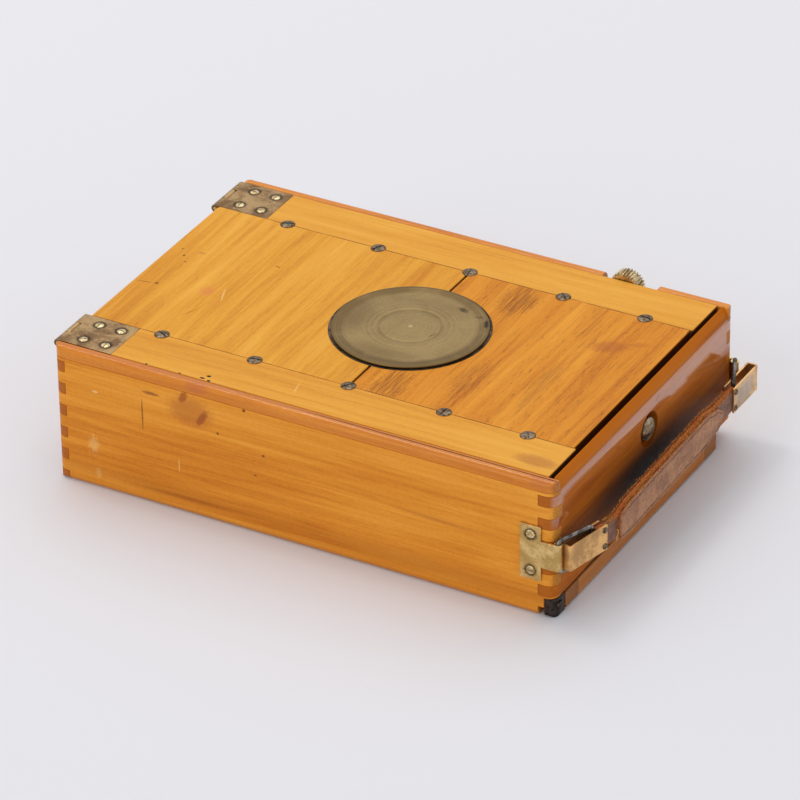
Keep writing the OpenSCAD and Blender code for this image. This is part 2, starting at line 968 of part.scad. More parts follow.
// Plates let into the bed's top, with the outer knuckles
module hinge_plates() {
  mid = knuckle_mid();
  color("darkkhaki")
    both_sides()
      difference() {
        union() {
          difference() {
            block([axis_x, plate_x1], [hinge_y0, hinge_y1], [bed_top - hinge_brass_t, bed_top]);
            block(
              [axis_x - overlap, axis_x + knuckle_r + 0.15],
              [mid[0] - knuckle_gap, mid[1] + knuckle_gap],
              [bed_z, body_h + overlap]
            );
          }
          rod_y(axis_x, [hinge_y0, mid[0] - knuckle_gap], axis_z, knuckle_r);
          rod_y(axis_x, [mid[1] + knuckle_gap, hinge_y1], axis_z, knuckle_r);
        }
        rod_y(axis_x, [hinge_y0 - overlap, hinge_y1 + overlap], axis_z, hinge_pin_r + fit);
        for (dx = [-1, 1], dy = [-1, 1])
          plate_screw_at(dx, dy, bed_top - hinge_brass_t)
            cylinder(h = hinge_brass_t + 0.01, r1 = screw_core, r2 = plate_screw_r);
      }
}

module hinge_plate_screws() {
  color("khaki")
    both_sides()
      for (dx = [-1, 1], dy = [-1, 1])
        plate_screw_at(dx, dy, bed_top - 0.15)
          screw(plate_screw_r - 0.2, screw_core - hair, plate_screw_l, 50 * dx + 35 * dy);
}

module lens_opening_ring() {
  color("darkolivegreen")
    translate([lens_x, 0, 0])
      rotate_extrude()
        polygon([
          [ring_ledge_r, bed_z],
          [cap_ring_r - hair, bed_z],
          [cap_ring_r - hair, bed_top],
          [ring_in, bed_top],
          [ring_in, cap_skirt_z - 0.1],
          [ring_ledge_r, cap_skirt_z - 0.1]
        ]);
}

// Spun cap with a rolled edge, a skirt and a faint dome
module lens_cap() {
  top = bed_top + cap_proud;
  edge = (cap_proud - hair) / 2;
  lip_r = cap_r + cap_lip;
  color("darkkhaki")
    translate([lens_x, 0, 0])
      rotate_extrude()
        difference() {
          union() {
            translate([0, cap_skirt_z])
              square([cap_r, top - edge - cap_skirt_z]);
            translate([0, top - 2 * edge])
              square([lip_r - edge, 2 * edge]);
            translate([lip_r - edge, top - edge])
              circle(r = edge);
          }
          translate([-cap_r, cap_skirt_z - overlap])
            square([2 * cap_r - cap_t, top - cap_t - cap_skirt_z + overlap]);
          translate([-overlap - cap_r, 0])
            square([overlap + cap_r, body_h + 2 * cap_proud]);
        }
}

// L-shaped strips under the bed that the focusing track slides in
module track_guides() {
  y0 = track_out + 0.15;
  lip_z = track_z - guide_clear - guide_lip_t;
  color("saddlebrown")
    both_sides()
      difference() {
        union() {
          block([track_x0, guide_x1], [y0, y0 + guide_w], [lip_z, bed_z]);
          block([track_x0, guide_x1], [y0 - guide_lip, y0 + guide_w], [lip_z, track_z - guide_clear]);
        }
        rod_y(pinion_x, [0, half_w], pinion_z, shaft_r + 0.2);
      }
}

module stay_brackets() {
  color("goldenrod")
    both_sides() {
      block(
        [stay_x - bracket_half, stay_x + bracket_half],
        [stay_y - clear - bracket_w, stay_y - clear],
        [stay_z - bracket_drop, bed_z]
      );
      rod_y(stay_x, [stay_y - clear - 0.1, stay_y + stay_t + stay_head_t], stay_z, stay_pin_r);
    }
}

// A flat stay from its pin on the bed down to the guide
module stay() {
  color("goldenrod")
    translate([stay_x, stay_y, stay_z])
      rotate([0, stay_angle, 0])
        difference() {
          union() {
            translate([0, 0, -stay_w / 2])
              cube([stay_l, stay_t, stay_w]);
            for (x = [0, stay_l])
              rod_y(x, [0, stay_t], 0, stay_w / 2);
            rod_y(stay_l, [0, stay_t + stay_head_t], 0, stay_end_r);
          }
          rod_y(0, [-overlap, stay_t + overlap], 0, stay_pin_r + fit);
        }
}

module stay_back() {
  stay();
}

module stay_front() {
  mirror([0, 1, 0])
    stay();
}

// The fork that carries the lens when the camera is set up: two runners and two cross-bars
module focus_track() {
  color("burlywood")
    union() {
      both_sides()
        block([track_x0, track_x1], [track_in, track_out], [track_z, track_top]);
      block([track_x0, track_x0 + crossbar_back_w], [-track_out, track_out], [track_z, track_top]);
      block([crossbar_x, crossbar_x + crossbar_w], [-track_out, track_out], [track_z, track_top]);
    }
}

// Straight rack teeth along X, from the track's end back
module focus_racks() {
  half_gap = rack_pitch * (1 - tooth_share) / 2;
  lean_up = rack_add * tan(pressure);
  lean_down = rack_ded * tan(pressure);
  root = rack_pitch_z - rack_ded;
  first = -floor((pinion_x - track_x1 + rack_l) / rack_pitch) + 1;
  last = floor((track_x1 - pinion_x) / rack_pitch);
  color("goldenrod")
    both_sides()
      translate([0, rack_y + rack_w / 2, 0])
        rotate([90, 0, 0])
          linear_extrude(rack_w)
            difference() {
              translate([track_x1 - rack_l, track_top])
                square([rack_l, rack_pitch_z + rack_add - track_top]);
              for (i = [first - 1:last + 1])
                translate([pinion_x + i * rack_pitch, 0])
                  polygon([
                    [-half_gap + lean_down, root],
                    [half_gap - lean_down, root],
                    [half_gap + lean_up, rack_pitch_z + rack_add],
                    [half_gap + lean_up, body_h],
                    [-half_gap - lean_up, body_h],
                    [-half_gap - lean_up, rack_pitch_z + rack_add]
                  ]);
            }
}

// Involute flank of a pinion tooth, as points from the base circle to the tip
base_r = pitch_r * cos(pressure);
function flank(t) = base_r * [cos(t) + t * PI / 180 * sin(t), sin(t) - t * PI / 180 * cos(t)];
function flank_turn(r) = sqrt(r * r / (base_r * base_r) - 1) * 180 / PI;
function at(p, a) = [p[0] * cos(a) - p[1] * sin(a), p[0] * sin(a) + p[1] * cos(a)];

module pinion_outline() {
  tip = flank_turn(pitch_r + gear_add);
  on_pitch = flank(flank_turn(pitch_r));
  turn = -atan2(on_pitch[1], on_pitch[0]) - 90 * tooth_share * 2 / pinion_teeth;
  steps = 5;
  circle(r = pitch_r - gear_ded);
  for (k = [0:pinion_teeth - 1])
    rotate(-90 + k * 360 / pinion_teeth)
      polygon(concat(
        [[0, 0]],
        [at([pitch_r - gear_ded - 0.05, 0], turn)],
        [for (i = [0:steps]) at(flank(tip * i / steps), turn)],
        [for (i = [steps:-1:0]) let (p = at(flank(tip * i / steps), turn)) [p[0], -p[1]]],
        [at([pitch_r - gear_ded - 0.05, 0], -turn)]
      ));
}

// Shaft across the bed with a pinion over each rack
module pinion_shaft() {
  color("goldenrod") {
    rod_y(pinion_x, [shaft_y0, knob_y0 + knob_w - 0.8], pinion_z, shaft_r);
    both_sides()
      translate([pinion_x, rack_y + rack_w / 2, pinion_z])
        rotate([90, 0, 0])
          linear_extrude(rack_w)
            pinion_outline();
  }
}

module shaft_bearings() {
  color("goldenrod")
    both_sides()
      difference() {
        block(
          [pinion_x - bearing_half, pinion_x + bearing_half],
          [bearing_y, bearing_y + bearing_t],
          [bed_z, pinion_z + bearing_over]
        );
        rod_y(pinion_x, [0, half_w], pinion_z, shaft_r + fit);
      }
}

// Fluted brass knob on the shaft's end
module focus_knob() {
  flute_r = PI * knob_r / knob_flutes * 0.52;
  color("rosybrown")
    translate([pinion_x, knob_y0, pinion_z])
      rotate([-90, 0, 0])
        difference() {
          union() {
            cylinder(h = knob_w, r = knob_r - 0.5);
            translate([0, 0, 0.5])
              cylinder(h = knob_w - 1, r = knob_r);
          }
          for (k = [0:knob_flutes - 1])
            rotate(k * 360 / knob_flutes)
              translate([knob_r + flute_r * 0.25, 0, -overlap])
                cylinder(h = knob_w + 2 * overlap, r = flute_r, $fn = 8);
          translate([0, 0, -overlap])
            cylinder(h = knob_w - 0.8 + overlap, r = knob_bore_r + 0.01);
        }
}

// One half-fold of the bellows: a frustum between two rectangles, each given as [x0, x1, y0, y1]
module frustum(a, b, z0, z1) {
  polyhedron(
    points = [
      [a[0], a[2], z0], [a[1], a[2], z0], [a[1], a[3], z0], [a[0], a[3], z0],
      [b[0], b[2], z1], [b[1], b[2], z1], [b[1], b[3], z1], [b[0], b[3], z1]
    ],
    faces = [[0, 1, 2, 3], [7, 6, 5, 4], [4, 5, 1, 0], [5, 6, 2, 1], [6, 7, 3, 2], [7, 4, 0, 3]]
  );
}

// The bellows' outline at a share f of its height, drawn in by some distance
function bellows_ring(f, inset) =
  let (
    x = (bellows_rear[0] * (1 - f) + bellows_front[0] * f) / 2 - inset,
    y = (bellows_rear[1] * (1 - f) + bellows_front[1] * f) / 2 - inset,
    off = -screen_off * (1 - f)
  )
    [lens_x - x, lens_x + x, off - y, off + y];

module fold_stack(inset, past) {
  count = 2 * bellows_folds;
  h = (bellows_top - bellows_z) / count;
  for (i = [0:count - 1])
    let (
      low = i == 0 ? past : 0,
      high = i == count - 1 ? past : 0,
      deep = i % 2
    )
      frustum(
        bellows_ring(i / count, inset + fold_d * deep),
        bellows_ring((i + 1) / count, inset + fold_d * (1 - deep)),
        bellows_z + i * h - low,
        bellows_z + (i + 1) * h + high
      );
}

// Pleated leather bellows, folded up, between the back frame and the standard
module bellows() {
  color("firebrick")
    difference() {
      fold_stack(0, 0);
      fold_stack(bellows_wall, 0.01);
    }
}

module standard_frame() {
  z = [standard_z, standard_z + standard_t];
  run = [lens_x - board_half - rise - clear, standard_x1 - 6];
  color("sienna")
    difference() {
      union() {
        block([standard_x0, standard_x1], [-standard_half, standard_half], z);
        block(
          [lens_x - bellows_front[0] / 2, lens_x + bellows_front[0] / 2],
          [-bellows_front[1] / 2, bellows_front[1] / 2],
          [bellows_top, standard_z]
        );
      }
      block(run, [-upright_in, upright_in], [board_z - clear, body_h]);
      block(run, [-board_half - clear, board_half + clear], [board_z - clear, board_top + clear]);
      block(
        [lens_x - standard_hole, lens_x + standard_hole],
        [-standard_hole, standard_hole],
        [0, body_h]
      );
    }
}

// Brass foot that rides on the body rails and holds the standard with two webs
module standard_foot() {
  z = [standard_z, standard_z + standard_t];
  plate = [body_rail_x + clear, body_rail_x + clear + foot_t];
  color("goldenrod")
    union() {
      block(plate, [-track_out - foot_t - clear, track_out + foot_t + clear], z);
      both_sides() {
        block([body_rail_x - 2.7, plate[1]], [track_out + clear, track_out + clear + foot_t], z);
        block([plate[0], standard_x0], [track_out - 10, track_out - 4], z);
      }
    }
}

module lens_board() {
  color("peru")
    difference() {
      block([lens_x - board_half, lens_x + board_half], [-board_half, board_half], [board_z, board_top]);
      rod_z(lens_x, 0, [0, body_h], rear_r);
    }
}

module lens_flange() {
  color("goldenrod")
    translate([lens_x, 0, board_top])
      difference() {
        cylinder(h = flange_t, r = flange_r);
        translate([0, 0, -overlap])
          cylinder(h = flange_t + 2 * overlap, r = rear_r);
        for (a = [60, 180, 300])
          rotate(a)
            translate([flange_r - 2, 0, 0.4])
              cylinder(h = flange_t, r = 1.2);
      }
}

// Drum of the shutter with its aperture, a floor, a lid and the blades' pivot pins
module shutter_case() {
  color("darkslategray")
    translate([lens_x, 0, 0]) {
      difference() {
        rod_z(0, 0, [shutter_z, shutter_top], shutter_r);
        rod_z(0, 0, [shutter_z + case_wall, shutter_top - case_wall], shutter_r - case_wall);
        rod_z(0, 0, [shutter_z - overlap, shutter_top + overlap], aperture_r + 1);
        rotate([0, 0, -48])
          block([0, shutter_r + overlap], [-7.5, 7.5], [lever_z - 0.3, lever_z + lever_t + 0.3]);
      }
      for (sy = [-1, 1])
        rod_z(blade_pivot, sy * 2, [shutter_z + case_wall - 0.01, blade_z1 + blade_t + 0.3], 0.8);
      lever_pin();
    }
}

lever_pivot = [14, -17];
lever_angle = -60;

module lever_pin() {
  rod_z(lever_pivot[0], lever_pivot[1], [shutter_z + case_wall - 0.01, lever_z + lever_t + 0.3], 1);
}

// One shutter blade: a half disc over the aperture with an arm to its pivot
module blade(side, z) {
  translate([lens_x, 0, z])
    difference() {
      union() {
        intersection() {
          cylinder(h = blade_t, r = blade_r);
          translate([-blade_r, side > 0 ? -0.5 : 0.5 - 2 * blade_r, 0])
            cube([2 * blade_r, 2 * blade_r, blade_t]);
        }
        translate([0, side > 0 ? -0.5 : -4, 0])
          cube([blade_pivot, 4.5, blade_t]);
        translate([blade_pivot, side * 2, 0])
          cylinder(h = blade_t, r = 2.4);
      }
      translate([blade_pivot, side * 2, -overlap])
        cylinder(h = blade_t + 2 * overlap, r = 0.8 + fit);
      if (side > 0)
        rod_z(blade_pivot, -2, [-overlap, blade_t + overlap], 1.6);
    }
}

module shutter_blade_upper() {
  color("black")
    blade(1, blade_z0);
}

module shutter_blade_lower() {
  color("black")
    difference() {
      blade(-1, blade_z1);
      rod_z(lens_x + blade_pivot, 2, [0, body_h], 1.6);
    }
}

module shutter_lever() {
  color("goldenrod")
    translate([lens_x + lever_pivot[0], lever_pivot[1], lever_z])
      difference() {
        union() {
          rotate(lever_angle)
            translate([0, -1.5, 0])
              cube([13.5, 3, lever_t]);
          cylinder(h = lever_t, r = 2.4);
          rotate(lever_angle)
            translate([13.5, 0, 0])
              cylinder(h = lever_t, r = 2.2);
        }
        translate([0, 0, -overlap])
          cylinder(h = lever_t + 2 * overlap, r = 1 + fit);
      }
}

// Lens barrel with the web and pivot pin of the stop wheel, slotted for the wheel's edge
module lens_barrel() {
  color("goldenrod")
    translate([lens_x, 0, 0]) {
      difference() {
        union() {
          rod_z(0, 0, [barrel_z, barrel_top], barrel_r - 0.8);
          rod_z(0, 0, [barrel_top - 2.2, barrel_top], barrel_r);
        }
        rod_z(0, 0, [barrel_z + web_t, barrel_top + overlap], barrel_r - 0.8 - barrel_wall);
        rod_z(0, 0, [barrel_z - overlap, barrel_z + 2], aperture_r + 1);
        intersection() {
          rod_z(0, wheel_pitch, [wheel_z - 0.2, wheel_z + wheel_t + 0.2], wheel_r + 0.5);
          block([-barrel_r, barrel_r], [0, 2 * barrel_r], [0, body_h]);
        }
      }
      rod_z(0, wheel_pitch, [barrel_z + web_t - 0.01, wheel_z + wheel_t + 0.4], 1);
    }
}

module stop_wheel() {
  color("goldenrod")
    translate([lens_x, wheel_pitch, wheel_z])
      difference() {
        cylinder(h = wheel_t, r = wheel_r);
        translate([0, 0, -overlap])
          cylinder(h = wheel_t + 2 * overlap, r = 1 + fit);
        for (i = [0:len(stops) - 1])
          rotate(-90 + i * 360 / len(stops))
            translate([wheel_pitch, 0, -overlap])
              cylinder(h = wheel_t + 2 * overlap, r = stops[i]);
      }
}

module rear_cell() {
  color("goldenrod")
    translate([lens_x, 0, 0])
      difference() {
        rod_z(0, 0, [rear_z, shutter_z], rear_r - 0.02);
        rod_z(0, 0, [rear_z - overlap, shutter_z + overlap], rear_r - 1.5);
      }
}

// A glass with a flat rim and a convex face
module lens_glass(r, z, h) {
  bulge = 1;
  ball = (r * r + bulge * bulge) / (2 * bulge);
  steps = 8;
  translate([lens_x, 0, z])
    rotate_extrude()
      polygon(concat(
        [[0, 0], [r, 0]],
        [for (i = [steps:-1:0]) let (x = r * i / steps) [x, h + bulge - ball + sqrt(ball * ball - x * x)]]
      ));
}

module lens_elements() {
  color("lightsteelblue", 0.5) {
    lens_glass(barrel_r - 0.8 - barrel_wall - 0.01, barrel_top - 4.6, 2);
    lens_glass(rear_r - 1.51, rear_z + 0.6, 3);
  }
}

module push_button() {
  ball = 1.6 * button_r;
  steps = 8;
  back = inner_x1 + 0.2;
  front = half_l + button_proud - ball;
  color("darkkhaki")
    translate([0, button_y, button_z])
      rotate([0, 90, 0])
        rotate_extrude()
          polygon(concat(
            [[0, tab_x0 + tab_t], [stem_r, tab_x0 + tab_t], [stem_r, back], [button_r, back]],
            [for (i = [steps:-1:0]) let (r = button_r * i / steps) [r, front + sqrt(ball * ball - r * r)]]
          ));
}

// Points along a spring, turning about X
function coil_point(s, x0, x1) =
  let (a = s * spring_turns * 360)
    [x0 + (x1 - x0) * s, button_y + spring_r * cos(a), button_z + spring_r * sin(a)];

module button_spring() {
  steps = 16 * spring_turns;
  sides = 6;
  x0 = guide_x + 1 + spring_wire + 0.1;
  x1 = inner_x1 + 0.1 - spring_wire - button_travel;
  rings = [
    for (i = [0:steps])
      let (
        s = i / steps,
        c = coil_point(s, x0, x1),
        a = s * spring_turns * 360,
        outward = [0, cos(a), sin(a)]
      )
        [for (k = [0:sides - 1]) c + spring_wire * (outward * cos(k * 60) + [1, 0, 0] * sin(k * 60))]
  ];
  points = [for (r = rings) for (p = r) p];
  walls = [
    for (i = [0:steps - 1], k = [0:sides - 1])
      let (a = i * sides + k, b = i * sides + (k + 1) % sides)
        each [[a, b, a + sides], [b, b + sides, a + sides]]
  ];
  last = steps * sides;
  ends = [
    for (k = [1:sides - 2])
      each [[0, k + 1, k], [last, last + k, last + k + 1]]
  ];
  color("silver")
    polyhedron(points = points, faces = concat(walls, ends), convexity = 6);
}

// The sliding plate with the window that the bed's hook drops into
module latch_plate() {
  window = [hook_x - nose_l - clear, hook_x + hook_t + button_travel + clear];
  color("goldenrod")
    difference() {
      union() {
        block([latch_x0, tab_x0 + tab_t], [button_y - 7, button_y + 7], [latch_z, latch_z + latch_t]);
        block([tab_x0, tab_x0 + tab_t], [button_y - 7, button_y + 7], [button_z - 4, latch_z + latch_t]);
      }
      block(window, [button_y - 4.4, button_y + 4.4], [latch_z - overlap, body_h]);
    }
}

// Fixed bracket on the end wall that guides the button's stem
module latch_guide() {
  y = [button_y - 9, button_y + 9];
  z = [button_z - 3.6, button_z + 3.6];
  color("goldenrod")
    difference() {
      union() {
        block([guide_x, guide_x + 1], y, z);
        block([guide_x, inner_x1], [y[0], y[0] + 1], z);
        block([guide_x, inner_x1], [y[1] - 1, y[1]], z);
        block([inner_x1 - 1, inner_x1], [y[0] - 5, y[0] + 1], z);
        block([inner_x1 - 1, inner_x1], [y[1] - 1, y[1] + 5], z);
      }
      rod_x([guide_x - overlap, guide_x + 2], button_y, button_z, stem_r + fit);
    }
}

module door_hook() {
  y = [button_y - 4, button_y + 4];
  color("goldenrod")
    union() {
      block([hook_x, hook_x + 8], [y[0] - 2, y[1] + 2], [bed_z - 1, bed_z]);
      block([hook_x, hook_x + hook_t], y, [latch_z - 1.6, bed_z]);
      block([hook_x - nose_l, hook_x + hook_t], y, [latch_z - 1.6, latch_z - 0.4]);
    }
}

// T-shaped plates on the side walls, rolled round the links' uprights
module anchor_plate() {
  z0 = handle_z - neck_h / 2;
  difference() {
    union() {
      block(
        [anchor_x1 - anchor_w, anchor_x1],
        [half_w, half_w + plate_t],
        [handle_z - anchor_h / 2, handle_z + anchor_h / 2]
      );
      block([anchor_x1 - overlap, pivot_x], [half_w, half_w + plate_t], [z0, z0 + neck_h]);
      rod_z(pivot_x, pivot_y, [z0, z0 + neck_h], anchor_r);
    }
    rod_z(pivot_x, pivot_y, [z0 - overlap, z0 + neck_h + overlap], wire_r + fit);
    for (dz = [-1, 1])
      translate([anchor_screw_x, half_w - 0.01, handle_z + dz * anchor_screw_dz])
        rotate([-90, 0, 0])
          cylinder(h = plate_t + 0.02, r1 = screw_core, r2 = plate_screw_r);
  }
}

module anchor_plates() {
  color("darkkhaki")
    both_sides()
      anchor_plate();
}

// The screws of the anchor plates and of the hinge leaves
module wall_screws() {
  color("khaki")
    both_sides() {
      for (dz = [-1, 1])
        translate([anchor_screw_x, half_w + plate_t + 0.1, handle_z + dz * anchor_screw_dz])
          rotate([-90, 0, 0])
            screw(plate_screw_r - 0.2, screw_core - hair, wall_screw_l, 40 * dz);
      for (dy = [-1, 1])
        leaf_screw_at(dy)
          translate([0, 0, -0.1])
            rotate([180, 0, 0])
              screw(plate_screw_r - 0.2, screw_core - hair, wall_screw_l, 30 + 40 * dy);
    }
}

// A rectangle of wire between two uprights
module wire_link(p, q) {
  d = q - p;
  color("slategray")
    translate([p[0], p[1], handle_z])
      rotate([0, 0, atan2(d[1], d[0])]) {
        for (x = [0, norm(d)])
          rod_z(x, 0, [-link_half, link_half], wire_r);
        for (dz = [-1, 1]) {
          rod_x([0, norm(d)], 0, dz * link_half, wire_r);
          for (x = [0, norm(d)])
            translate([x, 0, dz * link_half])
              sphere(r = wire_r);
        }
      }
}

module link_front() {
  wire_link([pivot_x, -pivot_y], near_point(near_pin_u));
}

module link_back() {
  wire_link([pivot_x, pivot_y], [far_fold[0], far_pin_y]);
}

// A folded clip: two leaves joined by a round fold at the origin, running along +Y
module clip() {
  translate([0, 0, -clip_h / 2])
    linear_extrude(clip_h)
      difference() {
        union() {
          translate([-clip_half, fold_r])
            square([2 * clip_half, clip_l - fold_r]);
          translate([fold_r - clip_half, 0])
            square([2 * (clip_half - fold_r), 2 * fold_r]);
          for (side = [-1, 1])
            translate([side * (clip_half - fold_r), fold_r])
              circle(r = fold_r);
        }
        translate([leaf_t - clip_half, leaf_t])
          square([2 * (clip_half - leaf_t), clip_l]);
      }
}

module at_near_clip() {
  translate([near_fold[0], near_fold[1], handle_z])
    rotate([0, 0, -clip_turn])
      children();
}

module at_far_clip() {
  translate([far_fold[0], far_fold[1], handle_z])
    mirror([0, 1, 0])
      children();
}

module rivet_places() {
  for (dz = [-1, 1])
    translate([0, clip_l - 1.4, dz * 3.6])
      rotate([0, 90, 0])
        children();
}

module strap_clips() {
  color("tan") {
    difference() {
      at_near_clip()
        clip();
      at_near_clip()
        rivet_places()
          cylinder(h = 8, r = 0.8 + hair, center = true);
    }
    difference() {
      at_far_clip()
        clip();
      at_far_clip()
        rivet_places()
          cylinder(h = 8, r = 0.8 + hair, center = true);
    }
  }
}

module rivet() {
  cylinder(h = 2 * clip_half + 0.02, r = 0.8, center = true);
  for (side = [0, 1])
    mirror([0, 0, side])
      translate([0, 0, clip_half])
        intersection() {
          cylinder(h = 0.8, r = 1.3);
          translate([0, 0, -0.8])
            sphere(r = 1.55);
        }
}

module clip_rivets() {
  color("khaki") {
    at_near_clip()
      rivet_places()
        rivet();
    at_far_clip()
      rivet_places()
        rivet();
  }
}

// The strap's plan between two distances from its middle line: a short bend, then straight
module strap_plan(inner, outer) {
  start = near_point(clip_l);
  translate([
    start[0] - strap_bend_r * cos(clip_turn),
    start[1] + strap_bend_r * sin(clip_turn)
  ]) {
    intersection() {
      difference() {
        circle(r = strap_bend_r + outer, $fn = 128);
        circle(r = strap_bend_r + inner, $fn = 128);
      }
      polygon([
        [0, 0],
        2 * strap_bend_r * [cos(clip_turn), -sin(clip_turn)],
        2 * strap_bend_r * [cos(strap_lean), sin(strap_lean)]
      ]);
    }
    rotate(strap_lean)
      translate([strap_bend_r + inner, -0.01])
        square([outer - inner, strap_straight]);
  }
}

// A strap layer: its plan, cut to an outline seen from the front, given from its middle height
module strap_layer(inner, outer, outline) {
  intersection() {
    translate([0, 0, handle_z - strap_h])
      linear_extrude(2 * strap_h)
        strap_plan(inner, outer);
    translate([half_l, 0, handle_z])
      rotate([90, 0, 90])
        linear_extrude(30)
          polygon(outline);
  }
}

// The base strap, narrowed to the clips, with its two ends held in them
module base_strap() {
  tongue_l = clip_l - near_pin_u - 1.6;
  tongue_t = 2 * (clip_half - leaf_t) - 0.1;
  half_end = clip_h / 2 - 0.6;
  half_mid = strap_h / 2;
  ends = [from_near(16.3), from_far(16.3)];
  color("sienna")
    difference() {
      union() {
        strap_layer(-strap_t / 2, strap_t / 2, [
          [ends[0], -half_end], [near_neck, -half_end], [near_full, -half_mid],
          [far_full, -half_mid], [far_neck, -half_end], [ends[1], -half_end],
          [ends[1], half_end], [far_neck, half_end], [far_full, half_mid - 1],
          [near_full, half_mid - 1], [near_neck, half_end], [ends[0], half_end]
        ]);
        at_near_clip()
          translate([-tongue_t / 2, clip_l - tongue_l, -half_end])
            cube([tongue_t, tongue_l + 1.4, 2 * half_end]);
        at_far_clip()
          translate([-tongue_t / 2, clip_l - far_tongue_l, -half_end])
            cube([tongue_t, far_tongue_l + 2.2, 2 * half_end]);
      }
      at_near_clip()
        rivet_places()
          cylinder(h = 8, r = 0.8 + hair, center = true);
      at_far_clip()
        rivet_places()
          cylinder(h = 8, r = 0.8 + hair, center = true);
    }
}

far_tongue_l = 2.6;

// The sewn outer leather with a pointed end
module strap_cover() {
  half_mid = cover_h / 2;
  tip = 0.17 * half_mid;
  shoulder = 0.37 * half_mid;
  neck = 0.6 * half_mid;
  color("chocolate")
    strap_layer(strap_t / 2, strap_t / 2 + pad_t, [
      [near_point_y, -tip], [near_point_y + 1.5, -shoulder], [near_point_y + 8, -neck],
      [near_full, -half_mid], [far_full, -half_mid], [far_point_y - 3, -0.66 * half_mid],
      [far_point_y, 0], [far_point_y - 3, 0.57 * half_mid], [far_full, half_mid - 1],
      [near_full, half_mid - 1], [near_point_y + 8, neck], [near_point_y + 1.5, shoulder],
      [near_point_y, tip]
    ]);
}

front_side_wall();
back_side_wall();
hinge_end_wall();
handle_end_wall();
side_beads();
slide_runners();
corner_shoe();
back_frame();
screen_stiles();
screen_rails();
ground_glass();
glass_clips();
hinge_leaves();
hinge_pins();
body_rails();
stay_guides();
door_panel_left();
door_panel_right();
door_rail_front();
door_rail_back();
door_screws();
hinge_plates();
hinge_plate_screws();
lens_opening_ring();
lens_cap();
track_guides();
stay_brackets();
stay_front();
stay_back();
focus_track();
focus_racks();
pinion_shaft();
shaft_bearings();
focus_knob();
bellows();
standard_frame();
standard_foot();
lens_board();
lens_flange();
shutter_case();
shutter_blade_upper();
shutter_blade_lower();
shutter_lever();
lens_barrel();
stop_wheel();
rear_cell();
lens_elements();
push_button();
button_spring();
latch_plate();
latch_guide();
door_hook();
anchor_plates();
wall_screws();
link_front();
link_back();
strap_clips();
clip_rivets();
base_strap();
strap_cover();
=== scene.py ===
"""Looks of a closed half-plate folding camera in lacquered hardwood and brass.

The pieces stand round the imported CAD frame. Meshes are in metres, sizes in the classes in millimetres, and
colours in the finishes are screen colours, 0 to 255.
"""

from __future__ import annotations

import logging
import math
from dataclasses import dataclass
from enum import Enum
from typing import Any, Callable, Sequence

import bmesh
import bpy
from mathutils import Matrix, Vector, noise

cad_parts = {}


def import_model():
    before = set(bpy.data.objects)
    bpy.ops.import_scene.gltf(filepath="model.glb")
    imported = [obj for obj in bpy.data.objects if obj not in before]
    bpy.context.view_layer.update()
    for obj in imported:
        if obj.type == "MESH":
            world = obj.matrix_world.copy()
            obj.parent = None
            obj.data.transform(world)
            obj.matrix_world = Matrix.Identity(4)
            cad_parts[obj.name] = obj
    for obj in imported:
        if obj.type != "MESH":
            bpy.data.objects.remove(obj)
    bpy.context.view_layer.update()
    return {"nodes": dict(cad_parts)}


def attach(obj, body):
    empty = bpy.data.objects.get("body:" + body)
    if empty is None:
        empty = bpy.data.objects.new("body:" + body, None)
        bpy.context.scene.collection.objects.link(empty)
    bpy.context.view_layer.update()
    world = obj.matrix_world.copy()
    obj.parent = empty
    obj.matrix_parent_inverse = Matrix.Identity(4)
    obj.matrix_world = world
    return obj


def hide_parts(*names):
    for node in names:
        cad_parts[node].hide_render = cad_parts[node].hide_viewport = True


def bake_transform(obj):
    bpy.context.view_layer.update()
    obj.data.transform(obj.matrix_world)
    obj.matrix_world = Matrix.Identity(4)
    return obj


MM = 0.001
LOG = logging.getLogger("camera")
Pair = tuple[float, float]
Triple = tuple[float, float, float]
Rows = list[list[Vector]]
Ring = list[bmesh.types.BMVert]

# Places and sizes that a finish and a piece share, in millimetres.
LENS_X = 6.8
CAP_RADIUS = 30.25
CAP_RING = 12.4
BOARD_SEAM = 49.2
PLATE_X, PLATE_Y = -96.95, 60.3
PLATE_DX, PLATE_DY = 5.0, 6.0
ANCHOR_X, ANCHOR_DZ = 100.25, 8.0
STRAP_Z = 28.3
SMALL_HEAD = 1.85


class Axis(Enum):
    """A direction of the frame, by its place in a vector."""

    X = 0
    Y = 1
    Z = 2


class Body(Enum):
    """The CAD bodies that pieces ride on."""

    CASE = "case"
    BED = "bed"
    CAP = "cap"
    PINION = "pinion"
    LATCH = "latch"
    HANDLE = "handle"
    FRONT_LINK = "front_link"
    BACK_LINK = "back_link"


class Slot(Enum):
    """Names of the record's material slots; pieces are passed one, but nothing reads it."""

    HONEY = "honey_hardwood"
    RED = "red_hardwood"
    AGED_BRASS = "aged_brass"
    SCREW_BRASS = "screw_brass"
    DARK_BRASS = "dark_brass"
    WIRE = "steel_wire"
    BROWN_LEATHER = "brown_leather"
    RED_LEATHER = "red_leather"


def linear(value: float) -> float:
    """Turns one channel of a screen colour into linear light."""
    share = value / 255
    return share / 12.92 if share <= 0.04045 else ((share + 0.055) / 1.055) ** 2.4


def rgb(colour: Triple) -> Triple:
    """Turns a screen colour into linear light."""
    return linear(colour[0]), linear(colour[1]), linear(colour[2])


def radians(degrees: Triple) -> Triple:
    """Turns three angles in degrees into radians."""
    return math.radians(degrees[0]), math.radians(degrees[1]), math.radians(degrees[2])


# ---- Node trees


